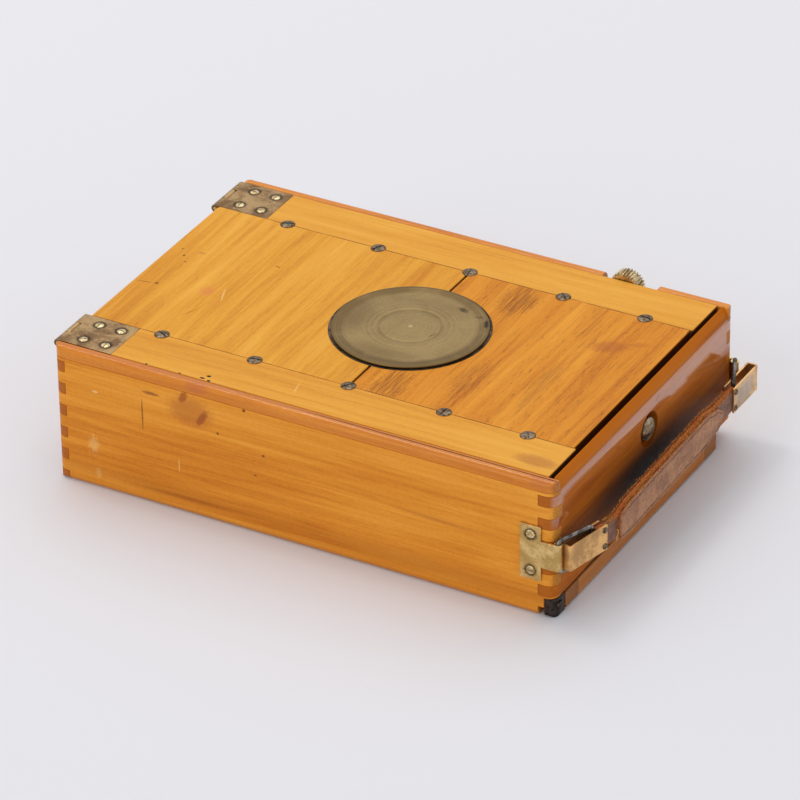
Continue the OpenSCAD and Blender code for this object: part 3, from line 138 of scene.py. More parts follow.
class Value:
    """A socket of a node tree; arithmetic on it adds Math nodes."""

    def __init__(self, wiring: "Wiring", socket: bpy.types.NodeSocket) -> None:
        """Keeps the socket and the tree that it is in."""
        self.wiring = wiring
        self.socket = socket

    def math(self, operation: str, *terms: Any) -> "Value":
        """Adds one Math node on the given terms."""
        return self.wiring.node("ShaderNodeMath", {"operation": operation}, dict(enumerate(terms)))

    def __add__(self, other: Any) -> "Value":
        """Sum."""
        return self.math("ADD", self, other)

    __radd__ = __add__

    def __sub__(self, other: Any) -> "Value":
        """Difference."""
        return self.math("SUBTRACT", self, other)

    def __rsub__(self, other: Any) -> "Value":
        """Difference, the other way round."""
        return self.math("SUBTRACT", other, self)

    def __mul__(self, other: Any) -> "Value":
        """Product."""
        return self.math("MULTIPLY", self, other)

    __rmul__ = __mul__

    def __abs__(self) -> "Value":
        """Size without its sign."""
        return self.math("ABSOLUTE", self)

    def ramp(self, low: float, high: float, start: float = 0.0, end: float = 1.0) -> "Value":
        """Goes smoothly from start, where the value is low, to end, where it is high."""
        limits = {0: self, 1: low, 2: high, 3: start, 4: end}
        return self.wiring.node("ShaderNodeMapRange", {"interpolation_type": "SMOOTHSTEP"}, limits)


class Wiring:
    """Adds nodes to one tree and joins them."""

    def __init__(self, tree: bpy.types.NodeTree) -> None:
        """Starts on an empty tree."""
        self.tree = tree
        tree.nodes.clear()

    @staticmethod
    def pick(sockets: Any, key: int | str) -> bpy.types.NodeSocket:
        """Finds a socket.

        Args:
            sockets: a node's inputs or outputs.
            key: the socket's number, identifier or name.

        Returns:
            The socket.
        """
        for socket in sockets:
            if socket.identifier == key:
                return socket
        return sockets[key]

    def node(
        self,
        kind: str,
        settings: dict[str, Any] | None = None,
        sockets: dict[int | str, Any] | None = None,
        out: int | str = 0,
    ) -> Value:
        """Adds a node.

        Args:
            kind: the node's type.
            settings: its settings, and "stops" for a ramp, as (place, colour) pairs.
            sockets: values or links of its inputs.
            out: the output to return.

        Returns:
            The chosen output.
        """
        made = self.tree.nodes.new(kind)
        for key, value in (settings or {}).items():
            if key == "stops":
                self.set_stops(made.color_ramp, value)
            else:
                setattr(made, key, value)
        for key, value in (sockets or {}).items():
            socket = self.pick(made.inputs, key)
            if isinstance(value, Value):
                self.tree.links.new(value.socket, socket)
            elif socket.type == "RGBA" and len(value) == 3:
                socket.default_value = (*value, 1)
            else:
                socket.default_value = value
        return Value(self, self.pick(made.outputs, out))

    @staticmethod
    def set_stops(ramp: bpy.types.ColorRamp, stops: Sequence[tuple[float, Triple]]) -> None:
        """Gives a new colour ramp its stops.

        Args:
            ramp: the ramp, with the two stops that it starts with.
            stops: a place and a screen colour for each, two or more.
        """
        for _ in stops[2:]:
            ramp.elements.new(1)
        for element, (place, colour) in zip(ramp.elements, stops):
            element.position = place
            element.color = (*rgb(colour), 1)

    def close(self, kind: str, socket: str, value: Value) -> None:
        """Joins a value to a new output node."""
        self.tree.links.new(value.socket, self.tree.nodes.new(kind).inputs[socket])


@dataclass(frozen=True)
class Mark:
    """A stain, hole, scratch or patch of painted shade on a surface: an ellipsoid that takes a tint.

    Args:
        at: its centre.
        size: its half sizes before it is turned.
        tint: its colour.
        strength: how much of the colour under it it hides.
        turn: its turn about the three axes, in degrees.
        soft: the share of its size over which it fades.
        ragged: how uneven its edge is.
        streak: the direction of the thin lines that it is broken into, if any.
    """

    at: Triple
    size: Triple
    tint: Triple
    strength: float = 0.8
    turn: Triple = (0, 0, 0)
    soft: float = 0.6
    ragged: float = 0.25
    streak: Axis | None = None


@dataclass(frozen=True)
class Face:
    """A flat face whose marks are placed by the two coordinates that lie in it.

    Args:
        normal: the axis that it faces along.
        level: its place on that axis.
        reach: how far its marks go through it.
    """

    normal: Axis
    level: float
    reach: float

    def spread(self, pair: Pair, across: float) -> Triple:
        """A vector from two coordinates in the face and the one across it."""
        spot = [*pair[: self.normal.value], across, *pair[self.normal.value :]]
        return spot[0], spot[1], spot[2]

    def mark(
        self, at: Pair, half: Pair, tint: Triple, strength: float, turn: float = 0.0, **edge: Any
    ) -> Mark:
        """A mark in the face, with its half sizes, its turn in degrees and further fields."""
        place, size = self.spread(at, self.level), self.spread(half, self.reach)
        return Mark(place, size, tint, strength, self.spread((0, 0), turn), **edge)


class Skin(Wiring):
    """A material's tree with the patterns that the finishes share."""

    def __init__(self, name: str) -> None:
        """Makes an empty material whose coordinates are millimetres."""
        self.material = bpy.data.materials.new(name)
        self.material.use_nodes = True
        super().__init__(self.material.node_tree)
        self.place = self.mapped(self.node("ShaderNodeTexCoord", out="Object"), size=(1 / MM,) * 3)

    def mapped(
        self,
        vector: Value,
        at: Triple = (0, 0, 0),
        turn: Triple = (0, 0, 0),
        size: Triple = (1, 1, 1),
        kind: str = "POINT",
    ) -> Value:
        """Moves coordinates, or with TEXTURE gives them in a frame with this place, turn and size."""
        values = {"Vector": vector, "Location": at, "Rotation": radians(turn), "Scale": size}
        return self.node("ShaderNodeMapping", {"vector_type": kind}, values)

    def stretched(self, sizes: Triple, shift: float = 0.0, turn: Triple = (0, 0, 0)) -> Value:
        """Coordinates in which a pattern's features have the given sizes, moved so that pieces differ."""
        scale = (1 / sizes[0], 1 / sizes[1], 1 / sizes[2])
        return self.mapped(self.mapped(self.place, turn=turn), (shift, shift * 0.7, shift * 0.4), size=scale)

    def grain(
        self,
        sizes: Triple | float,
        detail: float = 2.0,
        warp: float = 0.0,
        shift: float = 0.0,
        turn: Triple = (0, 0, 0),
    ) -> Value:
        """Noise, from 0 to 1 about 0.5.

        Args:
            sizes: its features' size along each axis, or one for all three.
            detail: its finer octaves.
            warp: how far it is distorted.
            shift: a move, so that pieces differ.
            turn: a turn about the three axes, in degrees.

        Returns:
            The noise.
        """
        where = self.stretched(sizes if isinstance(sizes, tuple) else (sizes,) * 3, shift, turn)
        values = {"Vector": where, "Scale": 1.0, "Detail": detail, "Distortion": warp}
        return self.node("ShaderNodeTexNoise", {}, values)

    def blend(self, share: Value, under: Value | Triple, over: Value | Triple) -> Value:
        """Mixes two colours, each a link or a screen colour.

        Args:
            share: how much of the second one shows.
            under: the colour at 0.
            over: the colour at 1.

        Returns:
            The mixed colour.
        """
        first, second = (colour if isinstance(colour, Value) else rgb(colour) for colour in (under, over))
        values = {"Factor_Float": share, "A_Color": first, "B_Color": second}
        return self.node("ShaderNodeMix", {"data_type": "RGBA"}, values, "Result_Color")

    def component(self, vector: Value, axis: Axis) -> Value:
        """One component of a vector."""
        return self.node("ShaderNodeSeparateXYZ", {}, {0: vector}, axis.value)

    def length(self, vector: Value) -> Value:
        """The length of a vector."""
        return self.node("ShaderNodeVectorMath", {"operation": "LENGTH"}, {0: vector}, "Value")

    def named(self, attribute: str) -> Value:
        """A number that the mesh holds for each vertex."""
        return self.node("ShaderNodeAttribute", {"attribute_name": attribute}, out="Fac")

    def marked(self, colour: Value, marks: Sequence[Mark]) -> Value:
        """Lays marks over a colour.

        Args:
            colour: the colour under them.
            marks: what to lay on it.

        Returns:
            The marked colour.
        """
        if not marks:
            return colour
        rough = self.grain(0.9, 3) - 0.5
        for mark in marks:
            far = self.length(self.mapped(self.place, mark.at, mark.turn, mark.size, "TEXTURE"))
            edge = far + rough * (2 * mark.ragged)
            share = edge.ramp(1 - mark.soft, 1, mark.strength, 0)
            if mark.streak is not None:
                lines = self.grain(drawn_out(mark.streak, *STREAK_SIZES), 3, 0.2)
                share = share * lines.ramp(0.4, 0.56)
            colour = self.blend(share, colour, mark.tint)
        return colour

    def finish(
        self, surface: dict[str, Any], bump: Value | None = None, height: float = 0.1
    ) -> bpy.types.Material:
        """Ends the tree in a Principled shader.

        Args:
            surface: its sockets.
            bump: a height for a Bump node.
            height: what a height of one stands for.

        Returns:
            The material.
        """
        if bump is not None:
            values = {"Height": bump, "Distance": height * MM, "Strength": 1.0}
            surface = {**surface, "Normal": self.node("ShaderNodeBump", {}, values, "Normal")}
        shader = self.node("ShaderNodeBsdfPrincipled", {}, surface)
        self.close("ShaderNodeOutputMaterial", "Surface", shader)
        return self.material


def drawn_out(along: Axis, across: float, length: float) -> Triple:
    """Feature sizes of a pattern that is drawn out along an axis.

    Args:
        along: the axis.
        across: the size on the other two axes.
        length: the size along it.

    Returns:
        The three sizes.
    """
    sizes = [across] * 3
    sizes[along.value] = length
    return sizes[0], sizes[1], sizes[2]


# Sizes of the woods' patterns, across the grain and along it.
BROAD_SIZES = (26, 150)
BAND_SIZES = (4.5, 110)
FINE_SIZES = (0.8, 22)
PORE_SIZES = (0.42, 5.0)
BURL_SIZES = (14, 60)
BURL_LINE_SIZES = (0.55, 30)
STREAK_SIZES = (0.55, 14)


@dataclass(frozen=True)
class Finish:
    """A surface finish that makes its material once."""

    name: str

    def material(self) -> bpy.types.Material:
        """The finish's material, made when it is first asked for."""
        return bpy.data.materials.get(self.name) or self.build()

    def build(self) -> bpy.types.Material:
        """Makes the material."""
        raise NotImplementedError


@dataclass(frozen=True)
class Timber(Finish):
    """Lacquered hardwood with straight grain.

    Args:
        light: the colour of its pale bands.
        mid: its main colour.
        dark: the colour of its dark bands.
        along: the direction of its grain.
        shift: moves the pattern, so that boards differ.
        pores: how strong its dark pore lines are.
        pore_tint: the pore lines' colour.
        coat: the weight of the lacquer.
        rough: the roughness of the lacquer's surface.
        coat_ior: the lacquer's index of refraction.
        gloss: how strongly the wood itself mirrors.
        shine: the heights of the outer face between which the lacquer is whole, or None for everywhere.
        seam: a half-width across Y at which a dark joint line runs, or 0.
        end_tint: the colour of its end grain.
        burl: how strong its patches of dark streaks are.
        marks: stains, holes, scratches and painted shade in gaps and behind the strap.
    """

    light: Triple
    mid: Triple
    dark: Triple
    along: Axis = Axis.X
    shift: float = 0.0
    pores: float = 0.5
    pore_tint: Triple = (97.2, 56.3, 25.5)
    coat: float = 0.08
    rough: float = 0.24
    coat_ior: float = 1.5
    gloss: float = 0.1
    shine: Pair | None = None
    seam: float = 0.0
    end_tint: Triple = (129.1, 84.6, 48.4)
    burl: float = 0.0
    marks: tuple[Mark, ...] = ()

    def lines(self, skin: Skin, sizes: Pair, detail: float, warp: float, shift: float) -> Value:
        """Noise that is drawn out along the grain, with sizes across it and along it."""
        return skin.grain(drawn_out(self.along, *sizes), detail, warp, self.shift + shift)

    def build(self) -> bpy.types.Material:
        """Makes the wood from four scales of grain, its end grain and its marks."""
        skin = Skin(self.name)
        broad = self.lines(skin, BROAD_SIZES, 2, 0.4, 0)
        bands = self.lines(skin, BAND_SIZES, 4, 0.8, 3)
        fine = self.lines(skin, FINE_SIZES, 3, 0.2, 7)
        pore = self.lines(skin, PORE_SIZES, 2, 0.0, 11)
        mottle = skin.grain(1.6, 3, 0.0, self.shift + 5)
        tone = broad * 0.36 + bands * 0.34 + fine * 0.2 + mottle * 0.1
        stops = [(0.36, self.dark), (0.49, self.mid), (0.64, self.light)]
        colour = skin.node("ShaderNodeValToRGB", {"stops": stops}, {0: tone})
        pore_lines = pore.ramp(0.31, 0.4, 1.0, 0.0) * bands.ramp(0.35, 0.62, 1.0, 0.25) * self.pores
        colour = skin.blend(pore_lines, colour, self.pore_tint)
        if self.burl:
            patch = self.lines(skin, BURL_SIZES, 2, 0.5, 17).ramp(0.45, 0.65)
            streaks = self.lines(skin, BURL_LINE_SIZES, 3, 0.1, 19).ramp(0.4, 0.5, 1.0, 0.0)
            colour = skin.blend(streaks * patch * self.burl, colour, self.pore_tint)
        facing = skin.node("ShaderNodeTexCoord", out="Normal")
        end_face = abs(skin.component(facing, self.along)).ramp(0.55, 0.85)
        end_colour = skin.blend(skin.grain(0.35, 3).ramp(0.35, 0.7), self.end_tint, self.mid)
        colour = skin.blend(end_face * 0.75, colour, end_colour)
        if self.seam:
            away = abs(abs(skin.component(skin.place, Axis.Y)) - self.seam)
            line = away.ramp(0.08, 0.34, 1.0, 0.0) * skin.grain((7, 2, 2)).ramp(0.3, 0.55, 0.45, 0.9)
            colour = skin.blend(line, colour, self.pore_tint)
        scratch = skin.grain((0.14, 6.0, 6.0), 1, 0.3, self.shift, (0, 0, 35)).ramp(0.745, 0.79)
        colour = skin.blend(scratch * 0.35, colour, self.light)
        speck = skin.grain(0.5, 1, 0.0, self.shift + 23).ramp(0.2, 0.235, 1.0, 0.0)
        colour = skin.blend(speck * 0.6, colour, self.pore_tint)
        coat = broad.ramp(0.3, 0.7, self.coat * 0.7, self.coat)
        if self.shine:
            low, high = self.shine
            height = skin.component(skin.place, Axis.Z)
            outward = skin.component(facing, Axis.X).ramp(0.4, 0.8)
            coat = height.ramp(low, low + 8) * height.ramp(high - 0.5, high + 0.3, 1.0, 0.0)
            coat = coat * outward * self.coat
        surface = {
            "Base Color": skin.marked(colour, self.marks),
            "Roughness": mottle.ramp(0.3, 0.7, self.rough + 0.2, self.rough + 0.34),
            "Coat Weight": coat,
            "Coat Roughness": self.rough * 0.6,
            "Coat IOR": self.coat_ior,
            "Specular IOR Level": self.gloss,
        }
        return skin.finish(surface, fine * 0.5 + pore * 0.6 + mottle * 0.3 - scratch * 0.6, 0.05)


@dataclass(frozen=True)
class Brass(Finish):
    """Worn metal with tarnish in patches and fine scratches.

    Args:
        face: the colour of the cleaner metal.
        tarnish: the colour of its patches.
        grime: the colour of the dirt in its specks.
        rough: its least roughness.
        patch: the size of its patches.
        scratches: how strong its scratches are.
        marks: stains, and painted shade round screw heads and in the cap's dish.
    """

    face: Triple
    tarnish: Triple
    grime: Triple = (63.2, 56.3, 38.7)
    rough: float = 0.28
    patch: float = 7.0
    scratches: float = 0.5
    marks: tuple[Mark, ...] = ()

    def tone(self, skin: Skin) -> Value:
        """The share of tarnish over the surface."""
        wide = skin.grain(self.patch, 4, 0.6)
        return (wide * 0.75 + skin.grain(1.2, 3) * 0.25).ramp(0.38, 0.62)

    def build(self) -> bpy.types.Material:
        """Makes the metal."""
        skin = Skin(self.name)
        tone = self.tone(skin)
        specks = skin.grain(0.5, 3, 0.0, 9.0).ramp(0.62, 0.74)
        colour = skin.blend(tone, self.face, self.tarnish)
        colour = skin.blend(specks * 0.5, colour, self.grime)
        lines = skin.grain((0.08, 4, 4), 1, 0.2, 3.0, (0, 0, 25)).ramp(0.62, 0.7)
        lines = lines + skin.grain((4, 0.08, 4), 1, 0.2, 5.0, (0, 0, 50)).ramp(0.64, 0.7)
        colour = skin.blend(lines * (0.3 * self.scratches), colour, self.face)
        surface = {
            "Base Color": skin.marked(colour, self.marks),
            "Metallic": specks.ramp(0, 1, 1.0, 0.7),
            "Roughness": tone.ramp(0, 1, self.rough, self.rough + 0.16),
        }
        return skin.finish(surface, lines * -self.scratches + skin.grain(0.7, 3) * 0.6, 0.02)


@dataclass(frozen=True)
class CapBrass(Brass):
    """The lens cap's brass, with turned rings about its middle.

    Args:
        centre: the middle of the cap.
        radius: the cap's radius.
        ring: the radius of its clean turned ring.
    """

    centre: Triple = (LENS_X, 0, 60)
    radius: float = CAP_RADIUS
    ring: float = CAP_RING

    def tone(self, skin: Skin) -> Value:
        """Tarnish that follows turned rings, with tarnish and painted shade of the dish gathering by the rim.
        """
        far = skin.length(skin.mapped(skin.place, self.centre, size=(1, 1, 1000), kind="TEXTURE"))
        rings = {"W": far * 0.9, "Detail": 4.0, "Scale": 1.0}
        turned = skin.node("ShaderNodeTexNoise", {"noise_dimensions": "1D"}, rings)
        middle = abs(far - self.ring).ramp(0.1, 0.9, 0.16, 0.0)
        # Tarnish and painted shade: darker towards the rim, standing partly for the dish's shading near its
        # edge.
        rim = far.ramp(self.radius - 6, self.radius - 1.5, 0.0, 0.3)
        return (skin.grain(14, 3, 0.8) * 0.6 + turned * 0.35 + middle + rim).ramp(0.34, 0.86)


@dataclass(frozen=True)
class Leather(Finish):
    """Creased leather that shows raw fibre where its "cut" attribute is one.

    Args:
        face: its main colour.
        deep: the colour of its creases.
        raw: the colour of its cut edges.
        crease: the size of its creases across the strap.
        rough: its middle roughness.
        marks: stains.
    """

    face: Triple
    deep: Triple
    raw: Triple
    crease: float = 1.6
    rough: float = 0.5
    marks: tuple[Mark, ...] = ()

    def build(self) -> bpy.types.Material:
        """Makes the leather."""
        skin = Skin(self.name)
        size = self.crease
        folds = skin.grain((size, size * 0.55, size * 2.6), 3, 1.2, 0.0, (24, 0, 0))
        spread = {"Vector": skin.stretched((size, size * 0.8, size * 2), 0.0, (20, 0, 0)), "Scale": 1.0}
        cells = skin.node("ShaderNodeTexVoronoi", {"feature": "DISTANCE_TO_EDGE"}, spread)
        cracks = cells.ramp(0.0, 0.12, 1.0, 0.0) * folds.ramp(0.4, 0.6)
        colour = skin.blend(skin.grain((9, 9, 5), 3, 0.4).ramp(0.35, 0.7, 0.0, 0.5), self.face, self.deep)
        colour = skin.blend(cracks * 0.75, colour, self.deep)
        colour = skin.blend(folds.ramp(0.3, 0.45, 0.45, 0.0), colour, self.deep)
        cut = skin.named("cut")
        fibre = skin.grain((0.25, 0.5, 1.4), 3, 0.5)
        colour = skin.blend(cut, colour, skin.blend(fibre.ramp(0.38, 0.62, 0.45, 1.0), (0, 0, 0), self.raw))
        colour = skin.blend(skin.named("groove") * 0.85, colour, self.deep)
        surface = {
            "Base Color": skin.marked(colour, self.marks),
            "Roughness": folds.ramp(0.3, 0.7, self.rough - 0.08, self.rough + 0.14),
            "Specular IOR Level": 0.4,
        }
        return skin.finish(surface, folds * 0.7 - cracks * 0.8 + fibre * cut * 1.6, 0.22)


@dataclass(frozen=True)
class Plain(Finish):
    """A finish of one colour with mottling, for small and inner pieces.

    Args:
        face: its main colour.
        other: the colour of its mottling.
        size: the size of its mottling.
        rough: its least roughness.
        metal: its metallic share.
        through: its share of transmission.
        frost: the height of its fine relief.
    """

    face: Triple
    other: Triple
    size: float
    rough: float
    metal: float = 0.0
    through: float = 0.0
    frost: float = 0.05

    def build(self) -> bpy.types.Material:
        """Makes the finish."""
        skin = Skin(self.name)
        spots = skin.grain(self.size, 4, 0.4)
        surface = {
            "Base Color": skin.blend(spots.ramp(0.35, 0.65), self.face, self.other),
            "Metallic": self.metal,
            "Roughness": spots.ramp(0.3, 0.7, self.rough, self.rough + 0.12),
            "Transmission Weight": self.through,
            "IOR": 1.5,
        }
        return skin.finish(surface, skin.grain(self.size * 0.2), self.frost)


# ---- Meshes


def link(name: str, mesh: bpy.types.Mesh) -> bpy.types.Object:
    """Puts a mesh into the scene.

    Args:
        name: the object's name.
        mesh: its mesh.

    Returns:
        The object.
    """
    made = bpy.data.objects.new(name, mesh)
    bpy.context.scene.collection.objects.link(made)
    return made


def smooth(piece: bpy.types.Object, angle: float) -> bpy.types.Object:
    """Shades a piece smooth.

    Args:
        piece: the piece.
        angle: the angle in degrees past which an edge stays sharp.

    Returns:
        The piece.
    """
    piece.data.shade_smooth()
    piece.data.set_sharp_from_angle(angle=math.radians(angle))
    return piece


def from_bmesh(name: str, work: bmesh.types.BMesh, angle: float = 35.0) -> bpy.types.Object:
    """Makes a smooth object with outward faces.

    Args:
        name: the object's name.
        work: its mesh in metres, freed afterwards.
        angle: the sharpest angle that is shaded smooth.

    Returns:
        The object.
    """
    bmesh.ops.recalc_face_normals(work, faces=work.faces)
    mesh = bpy.data.meshes.new(name)
    work.to_mesh(mesh)
    work.free()
    return smooth(link(name, mesh), angle)


def turns(count: int, start: float = 0.0, step: float | None = None) -> list[float]:
    """Angles in radians, evenly round a circle or from a start by a step in degrees."""
    pitch = 2 * math.pi / count if step is None else math.radians(step)
    return [math.radians(start) + pitch * k for k in range(count)]


def loft(name: str, rows: Rows, loop: bool = False, angle: float = 35.0) -> bpy.types.Object:
    """Skins closed rings of points.

    Args:
        name: the object's name.
        rows: the rings in millimetres, each with the same number of points.
        loop: joins the last ring to the first instead of closing both ends.
        angle: the sharpest angle that is shaded smooth.

    Returns:
        The object.
    """
    work = bmesh.new()
    rings = [[work.verts.new(point * MM) for point in row] for row in rows]
    for here, after in zip(rings, rings[1:] + rings[:1] if loop else rings[1:]):
        join_rings(work, here, after)
    if not loop:
        work.faces.new(rings[0][::-1])
        work.faces.new(rings[-1])
    return from_bmesh(name, work, angle)


def join_rings(work: bmesh.types.BMesh, here: Ring, after: Ring) -> None:
    """Lays faces between two rings of points.

    Args:
        work: the mesh.
        here: one ring; it may be a single point.
        after: the next ring; it may be a single point.
    """
    steps = max(len(here), len(after))
    for k in range(steps):
        nxt = (k + 1) % steps
        corners = (here[k % len(here)], here[nxt % len(here)], after[nxt % len(after)], after[k % len(after)])
        unique = list(dict.fromkeys(corners))
        if len(unique) > 2:
            work.faces.new(unique)


def spin(name: str, profile: Sequence[Pair], at: Matrix, steps: int, angle: float) -> bpy.types.Object:
    """Turns a profile of (radius, height) pairs about its own axis.

    Args:
        name: the object's name.
        profile: the outline; a closed one starts and ends at radius zero.
        at: the place of the profile's frame, in millimetres.
        steps: points round the axis.
        angle: the sharpest angle that is shaded smooth.

    Returns:
        The object.
    """
    work = bmesh.new()
    rings = []
    for radius, height in profile:
        round_it = turns(steps) if radius > 0 else [0.0]
        spots = [Vector((radius * math.cos(a), radius * math.sin(a), height)) for a in round_it]
        rings.append([work.verts.new(at @ spot * MM) for spot in spots])
    for here, after in zip(rings, rings[1:]):
        join_rings(work, here, after)
    return from_bmesh(name, work, angle)


def tube(
    name: str, path: Sequence[Vector], radius: float, sides: int, loop: bool = False
) -> bpy.types.Object:
    """Sweeps a round section along a path.

    Args:
        name: the object's name.
        path: the points that it follows, in millimetres.
        radius: its radius.
        sides: the faces round it.
        loop: joins its ends.

    Returns:
        The object.
    """
    count = len(path)
    side = Vector((0, 0, 1))
    rows: Rows = []
    for i, point in enumerate(path):
        before = path[(i - 1) % count] if loop or i else point
        after = path[(i + 1) % count] if loop or i < count - 1 else point
        ahead = (after - before).normalized()
        if abs(side.dot(ahead)) > 0.99:
            side = ahead.orthogonal()
        side = (side - ahead * side.dot(ahead)).normalized()
        other = ahead.cross(side)
        rows.append([point + radius * (side * math.cos(a) + other * math.sin(a)) for a in turns(sides)])
    return loft(name, rows, loop, 60)


def table(at: float, points: Sequence[Pair]) -> float:
    """Reads a value off a list, with eased steps between its entries.

    Args:
        at: the place.
        points: (place, value) pairs in rising order of place.

    Returns:
        The value there; past either end it is the end's own.
    """
    if at <= points[0][0]:
        return points[0][1]
    for (x0, v0), (x1, v1) in zip(points, points[1:]):
        if at <= x1:
            share = (at - x0) / (x1 - x0)
            share = share * share * (3 - 2 * share)
            return v0 + (v1 - v0) * share
    return points[-1][1]


def plain_copy(source: bpy.types.Object, name: str) -> bpy.types.Object:
    """Applies an object's modifiers.

    Args:
        source: the object; it is removed.
        name: the name of the result.

    Returns:
        The evaluated mesh as a new plain object.
    """
    graph = bpy.context.evaluated_depsgraph_get()
    mesh = bpy.data.meshes.new_from_object(source.evaluated_get(graph), depsgraph=graph)
    bpy.data.objects.remove(source)
    mesh.name = name
    return link(name, mesh)


def worn_copy(source: bpy.types.Object, name: str, width: float) -> bpy.types.Object:
    """A copy of a CAD node whose edges are worn round.

    Args:
        source: the CAD node's object.
        name: the copy's name.
        width: how far the wear reaches from an edge.

    Returns:
        The copy.
    """
    work = bmesh.new()
    work.from_mesh(source.data)
    bmesh.ops.remove_doubles(work, verts=work.verts, dist=2e-6)
    flat = math.radians(0.8)
    bmesh.ops.dissolve_limit(work, angle_limit=flat, verts=work.verts, edges=work.edges, delimit={"NORMAL"})
    mesh = bpy.data.meshes.new(name)
    work.to_mesh(mesh)
    work.free()
    for extra in ("custom_normal", "sharp_edge", "sharp_face"):
        if extra in mesh.attributes:
            mesh.attributes.remove(mesh.attributes[extra])
    mesh.materials.clear()
    draft = smooth(link(name + "_draft", mesh), 30)
    bevel = draft.modifiers.new("wear", "BEVEL")
    bevel.width = width * MM
    bevel.segments = 2
    bevel.limit_method = "ANGLE"
    bevel.angle_limit = math.radians(32)
    bevel.use_clamp_overlap = False
    bevel.harden_normals = True
    return plain_copy(draft, name)


class Pattern(Wiring):
    """A Geometry Nodes tree with named inputs, for parts that repeat."""

    def __init__(self, name: str, inputs: dict[str, str]) -> None:
        """Makes the tree with a Geometry and a Finish input and the named ones.

        Args:
            name: the tree's name.
            inputs: the type of each further input, without its first word.
        """
        super().__init__(bpy.data.node_groups.new(name, "GeometryNodeTree"))
        face = self.tree.interface
        face.new_socket(name="Geometry", in_out="INPUT", socket_type="NodeSocketGeometry")
        self.keys = {
            label: face.new_socket(name=label, in_out="INPUT", socket_type="NodeSocket" + kind).identifier
            for label, kind in {**inputs, "Finish": "Material"}.items()
        }
        face.new_socket(name="Geometry", in_out="OUTPUT", socket_type="NodeSocketGeometry")
        self.given = self.tree.nodes.new("NodeGroupInput")

    def input(self, label: str) -> Value:
        """One of the tree's inputs."""
        return Value(self, self.given.outputs[label])

    def part(self, label: str) -> Value:
        """The mesh of an object that is one of the inputs."""
        return self.node("GeometryNodeObjectInfo", {}, {"Object": self.input(label)}, "Geometry")

    def copies(self, points: Value, part: Value, turn: Value, size: Value | float = 1.0) -> Value:
        """Sets a part on points.

        Args:
            points: the points.
            part: the mesh to copy.
            turn: each copy's rotation.
            size: each copy's scale.

        Returns:
            The copies.
        """
        scale = size if isinstance(size, Value) else (size,) * 3
        values = {"Points": points, "Instance": part, "Rotation": turn, "Scale": scale}
        return self.node("GeometryNodeInstanceOnPoints", {}, values)

    def end(self, geometry: Value) -> None:
        """Realizes the copies, gives them the finish and joins them to the output."""
        real = self.node("GeometryNodeRealizeInstances", {}, {0: geometry})
        inputs = {"Geometry": real, "Material": self.input("Finish")}
        dressed = self.node("GeometryNodeSetMaterial", {}, inputs)
        self.close("NodeGroupOutput", "Geometry", dressed)

    def grow(
        self, name: str, base: bpy.types.Object, finish: Finish, values: dict[str, Any]
    ) -> bpy.types.Object:
        """Runs the tree on a base.

        Args:
            name: the piece's name.
            base: the object that carries the points; it is removed.
            finish: what the copies are made of.
            values: the named inputs; an object among them is removed.

        Returns:
            The result as a plain piece.
        """
        modifier = base.modifiers.new("pattern", "NODES")
        modifier.node_group = self.tree
        for label, value in {**values, "Finish": finish.material()}.items():
            modifier[self.keys[label]] = value
        made = plain_copy(base, name)
        for value in values.values():
            if isinstance(value, bpy.types.Object):
                bpy.data.objects.remove(value)
        return made


class Planted(Pattern):
    """Copies of one part set on points, each turned by the point's "turn" attribute."""

    def __init__(self) -> None:
        """Builds the tree: a part on each point."""
        super().__init__("planted_parts", {"Part": "Object"})
        turn = self.node("GeometryNodeInputNamedAttribute", {"data_type": "FLOAT_VECTOR"}, {"Name": "turn"})
        rotation = self.node("FunctionNodeEulerToRotation", {}, {0: turn})
        self.end(self.copies(self.input("Geometry"), self.part("Part"), rotation))

    def plant(
        self, name: str, part: bpy.types.Object, places: Sequence[tuple[Triple, Triple]], finish: Finish
    ) -> bpy.types.Object:
        """Sets a part on places.

        Args:
            name: the piece's name.
            part: the part, about its own origin.
            places: (point, turn in degrees) of each copy.
            finish: what the copies are made of.

        Returns:
            The piece.
        """
        mesh = bpy.data.meshes.new(name + "_points")
        mesh.from_pydata([Vector(at) * MM for at, _ in places], [], [])
        held = mesh.attributes.new("turn", "FLOAT_VECTOR", "POINT")
        for row, (_, turn) in zip(held.data, places):
            row.vector = radians(turn)
        return self.grow(name, link(name + "_base", mesh), finish, {"Part": part})


